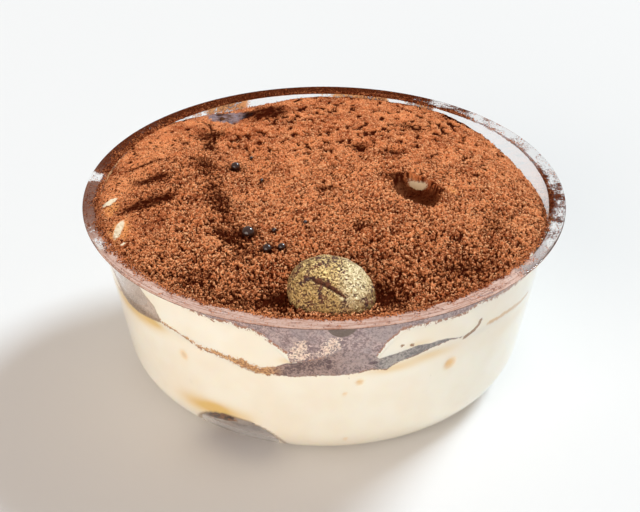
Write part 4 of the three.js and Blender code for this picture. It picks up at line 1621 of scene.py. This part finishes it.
for kind, (count, smallest, largest, sides, bareness) in CRUMB_KINDS.items():
    places, radii, tones = crumbs_on_cocoa(count, smallest, largest, bareness)
    scatter(kind, rough_shapes(8, sides), places, radii, tones, crumb_finish)

# %% [markdown]
# ## Beads of coffee
# Drops of coffee stand on the fine powder as round, dark, glossy beads. Each is a ball that is
# flattened a little and sunk by about half its radius.

# %% Beads
BEAD_RISE = 0.4  # of its middle above the powder, as a part of its radius
BEAD_FLATNESS = 0.92
BEAD_TONES = (colour(30, 14, 12), colour(60, 34, 28))

finish = Finish("coffee_bead")
bead_base = finish.mixed(finish.noise(1.5), *BEAD_TONES)
bead_finish = finish.shown(
    finish.principled(base_color=bead_base, roughness=0.16, coat_weight=0.4, coat_roughness=0.05)
)
bm = bmesh.new()
for at_x, at_y, radius in BEADS:
    rest = RIM_HEIGHT + broad_form(np.array([at_x]), np.array([at_y]))[0]
    place = Matrix.Translation((at_x, at_y, rest + radius * BEAD_RISE))
    place = place @ Matrix.Diagonal((1, 1, BEAD_FLATNESS, 1))
    bmesh.ops.create_uvsphere(bm, u_segments=32, v_segments=16, radius=radius, matrix=place)
finished(bm, "coffee_beads", bead_finish, sharp=0)

# %% [markdown]
# ## The seam of cocoa
# A layer of cocoa between the creams, pressed against the plastic. At the front it is thick and
# greyed. To the left it thins out to a dotted orange line, and to the right it fades into the cream.

# %% Seam
finish = Finish("seam_cocoa")
seam_finish = finish.shown(wall_shader(finish, cream_base(finish)))
bm = unit_slab(rings=8, rows=6)
fill_between(bm, seam_floor, seam_top, FOOD_INSET, SIDE_POCKET)
mark_cream(bm)
finished(bm, "cocoa_seam_layer", seam_finish, ["cocoa_seam"])

# %% [markdown]
# ## The gilded bean
# A coffee bean of chocolate, dusted with gold. It is a ball pressed into a bean's shape with its
# cleft. The gold is thousands of flakes that each lie at their own angle, so the normal is turned
# a little for every cell of a fine pattern, which makes single flakes flash.

# %% Bean
BEAN_CLEFT_DEPTH = 0.7
BEAN_CLEFT_WIDTH = 0.36
BEAN_CLEFT_SWAY = -0.6
BEAN_CLEFT_MIDDLE = -0.08  # as a part of half the bean's length
BEAN_CLEFT_LENGTH = 0.62
BEAN_CLEFT_RAGGED = 0.35
BEAN_DENTS = 0.14
FLAKE_TURN = 0.6
# A highlight painted on the upper right of the bean: X, height above the rim's plane, half width
# and half height.
PAINTED_HIGHLIGHT = (5.6, 3.6, 3.4, 3.8)
GOLD = (colour(114, 82, 36), colour(238, 204, 138))
HIGHLIGHT_GOLD = (colour(206, 180, 120), colour(255, 250, 226))
CHOCOLATE = (colour(56, 22, 12), colour(124, 70, 40))

finish = Finish("gold_dust")
flakes = finish.cells(0.24, "Color")
flake_tone = finish.node("SeparateColor", None, {"Color": flakes}, "Red")
clumps = finish.noise(0.7, detail=5.0, roughness=0.8)
worn = finish.noise(1.7, detail=3.0, roughness=0.6)
# Painted highlight: the gold turns pale there, and a little more of it is gilt.
highlight = (oval(finish, *PAINTED_HIGHLIGHT) + clumps - 0.5).ramp(-0.4, 1.2)
gilt = clumps * 0.7 + worn * 1.4 + flake_tone * 0.3 + highlight * 0.12 - finish.kept("cleft") * 0.6
gilt = (gilt - 0.66).ramp(0.36, 0.60)
gold = finish.mixed(flake_tone, *GOLD)
gold = finish.mixed(highlight * 0.5, gold, finish.mixed(flake_tone, *HIGHLIGHT_GOLD))
chocolate = finish.mixed(clumps.ramp(0.4, 0.6), *CHOCOLATE)
bean_base = finish.mixed(gilt, chocolate, gold)
halves = (0.5, 0.5, 0.5)
leaning = finish.node("VectorMath", {"operation": "SUBTRACT"}, {0: flakes, 1: halves})
leaning = finish.node("VectorMath", {"operation": "SCALE"}, {0: leaning, "Scale": FLAKE_TURN})
bumpy = finish.bump(clumps, 0.9, 0.3)
turned = finish.node("VectorMath", {"operation": "ADD"}, {0: bumpy, 1: leaning})
turned = finish.node("VectorMath", {"operation": "NORMALIZE"}, {0: turned})
bean_finish = finish.shown(
    finish.principled(
        base_color=bean_base, metallic=gilt * 0.8, roughness=0.60 - gilt * 0.22, normal=turned
    )
)
bm = bmesh.new()
bmesh.ops.create_uvsphere(bm, u_segments=160, v_segments=100, radius=1.0)
bmesh.ops.rotate(bm, verts=bm.verts, cent=(0, 0, 0), matrix=Matrix.Rotation(math.pi / 2, 3, "Y"))
bmesh.ops.scale(bm, vec=BEAN_HALF, verts=bm.verts)
x, y, z = coordinates(bm)
along = x / BEAN_HALF[0]
ragged = np.array([noise.noise(Vector((at * 4.0, 3.3, 1.1))) for at in along])
side = y - BEAN_CLEFT_SWAY * np.sin(np.pi * along) + BEAN_CLEFT_RAGGED * ragged
ends = 1 - smoothstep(np.abs(along - BEAN_CLEFT_MIDDLE), 0.2, BEAN_CLEFT_LENGTH)
dip = np.where(z > 0, ends * np.exp(-((side / BEAN_CLEFT_WIDTH) ** 2)), 0)
store(bm, "cleft", dip)
unevenness = [noise.fractal(Vector(vert.co) * 0.9, 0.8, 2.1, 4) for vert in bm.verts]
for vert, depth, uneven in zip(bm.verts, dip, unevenness):
    vert.co -= vert.co.normalized() * (BEAN_DENTS + BEAN_DENTS * uneven)
    vert.co.z -= BEAN_CLEFT_DEPTH * depth
bmesh.ops.transform(
    bm, verts=bm.verts, matrix=Matrix.Translation(BEAN_MIDDLE) @ bean_frame().to_4x4()
)
finished(bm, "gilded_bean", bean_finish, ["coffee_bean"], sharp=0)

# %% [markdown]
# ## Crumbs on the flange
# Crumbs roll over the lip of the mouth wherever the cocoa stands that high, which gives the coat its
# ragged outline, and specks lie further out, most of them where the film is brown. There the
# crumbs are darker too.

# %% Flange crumbs
SPILL_REACH = 1.1
SPILLED = 11000
SPECKS = 7000
# How much further the crumbs roll out: at the left they nearly reach the outer edge.
WIDER = [(-112, 40, 1.1), (-58, 34, 1.0), (-160, 30, 0.7), (160, 22, 0.5), (86, 18, 0.3)]


def spill_chance(angle):
    edge_level = COCOA_EDGE + swell_sum(angle, COCOA_EDGE_SWELLS)
    return smoothstep(edge_level, -2.1, -0.8)


angle = random.uniform(-180, 180, SPILLED * TRIES)
beyond = random.beta(1.0, 2.2, len(angle))
reach = SPILL_REACH + swell_sum(angle, WIDER)
ragged = blotches_at(angle * 0.8, np.zeros_like(angle), 4.0, 4.4)
edge_here = 0.42 + 0.7 * ragged + random.uniform(0, 0.6, len(angle))
keep = (beyond * 1.5 < edge_here) & (random.uniform(0, 1, len(angle)) < spill_chance(angle))
x, y = on_circle(angle, MOUTH_RADIUS - 0.25 + beyond * reach * 1.5)
keep &= bean_underside(x, y, BEAN_ROOM) == NO_BEAN
spill_x, spill_y = x[keep][:SPILLED], y[keep][:SPILLED]

angle = random.uniform(-180, 180, SPECKS * TRIES)
outward = random.uniform(0, 1, len(angle)) ** 1.3
x, y = on_circle(angle, MOUTH_RADIUS + 0.2 + (RIM_RADIUS - MOUTH_RADIUS - 0.4) * outward)
brown_there = from_table(angle, FLANGE_FILM, 2)
chance = 0.1 + 0.55 * brown_there + 1.1 * blotches_at(x, y, 1.6, 2.2) - 0.25
keep = random.uniform(0, 1, len(angle)) < chance
speck_x, speck_y = x[keep][:SPECKS], y[keep][:SPECKS]

size = np.concatenate([
    0.07 + 0.15 * random.beta(1.5, 2.5, len(spill_x)),
    0.04 + 0.11 * random.beta(1.3, 4.0, len(speck_x)),
])
x, y = np.concatenate([spill_x, speck_x]), np.concatenate([spill_y, speck_y])
places = np.stack([x, y, RIM_HEIGHT + size * random.uniform(0.1, 0.7, len(size))], axis=1)
browner = from_table(polar(x, y)[0], FLANGE_FILM, 2)
tones = random.uniform(0.0, 0.62 - 0.32 * browner, len(size))
scatter("flange_crumbs", rough_shapes(6, 8), places, size, tones, crumb_finish)
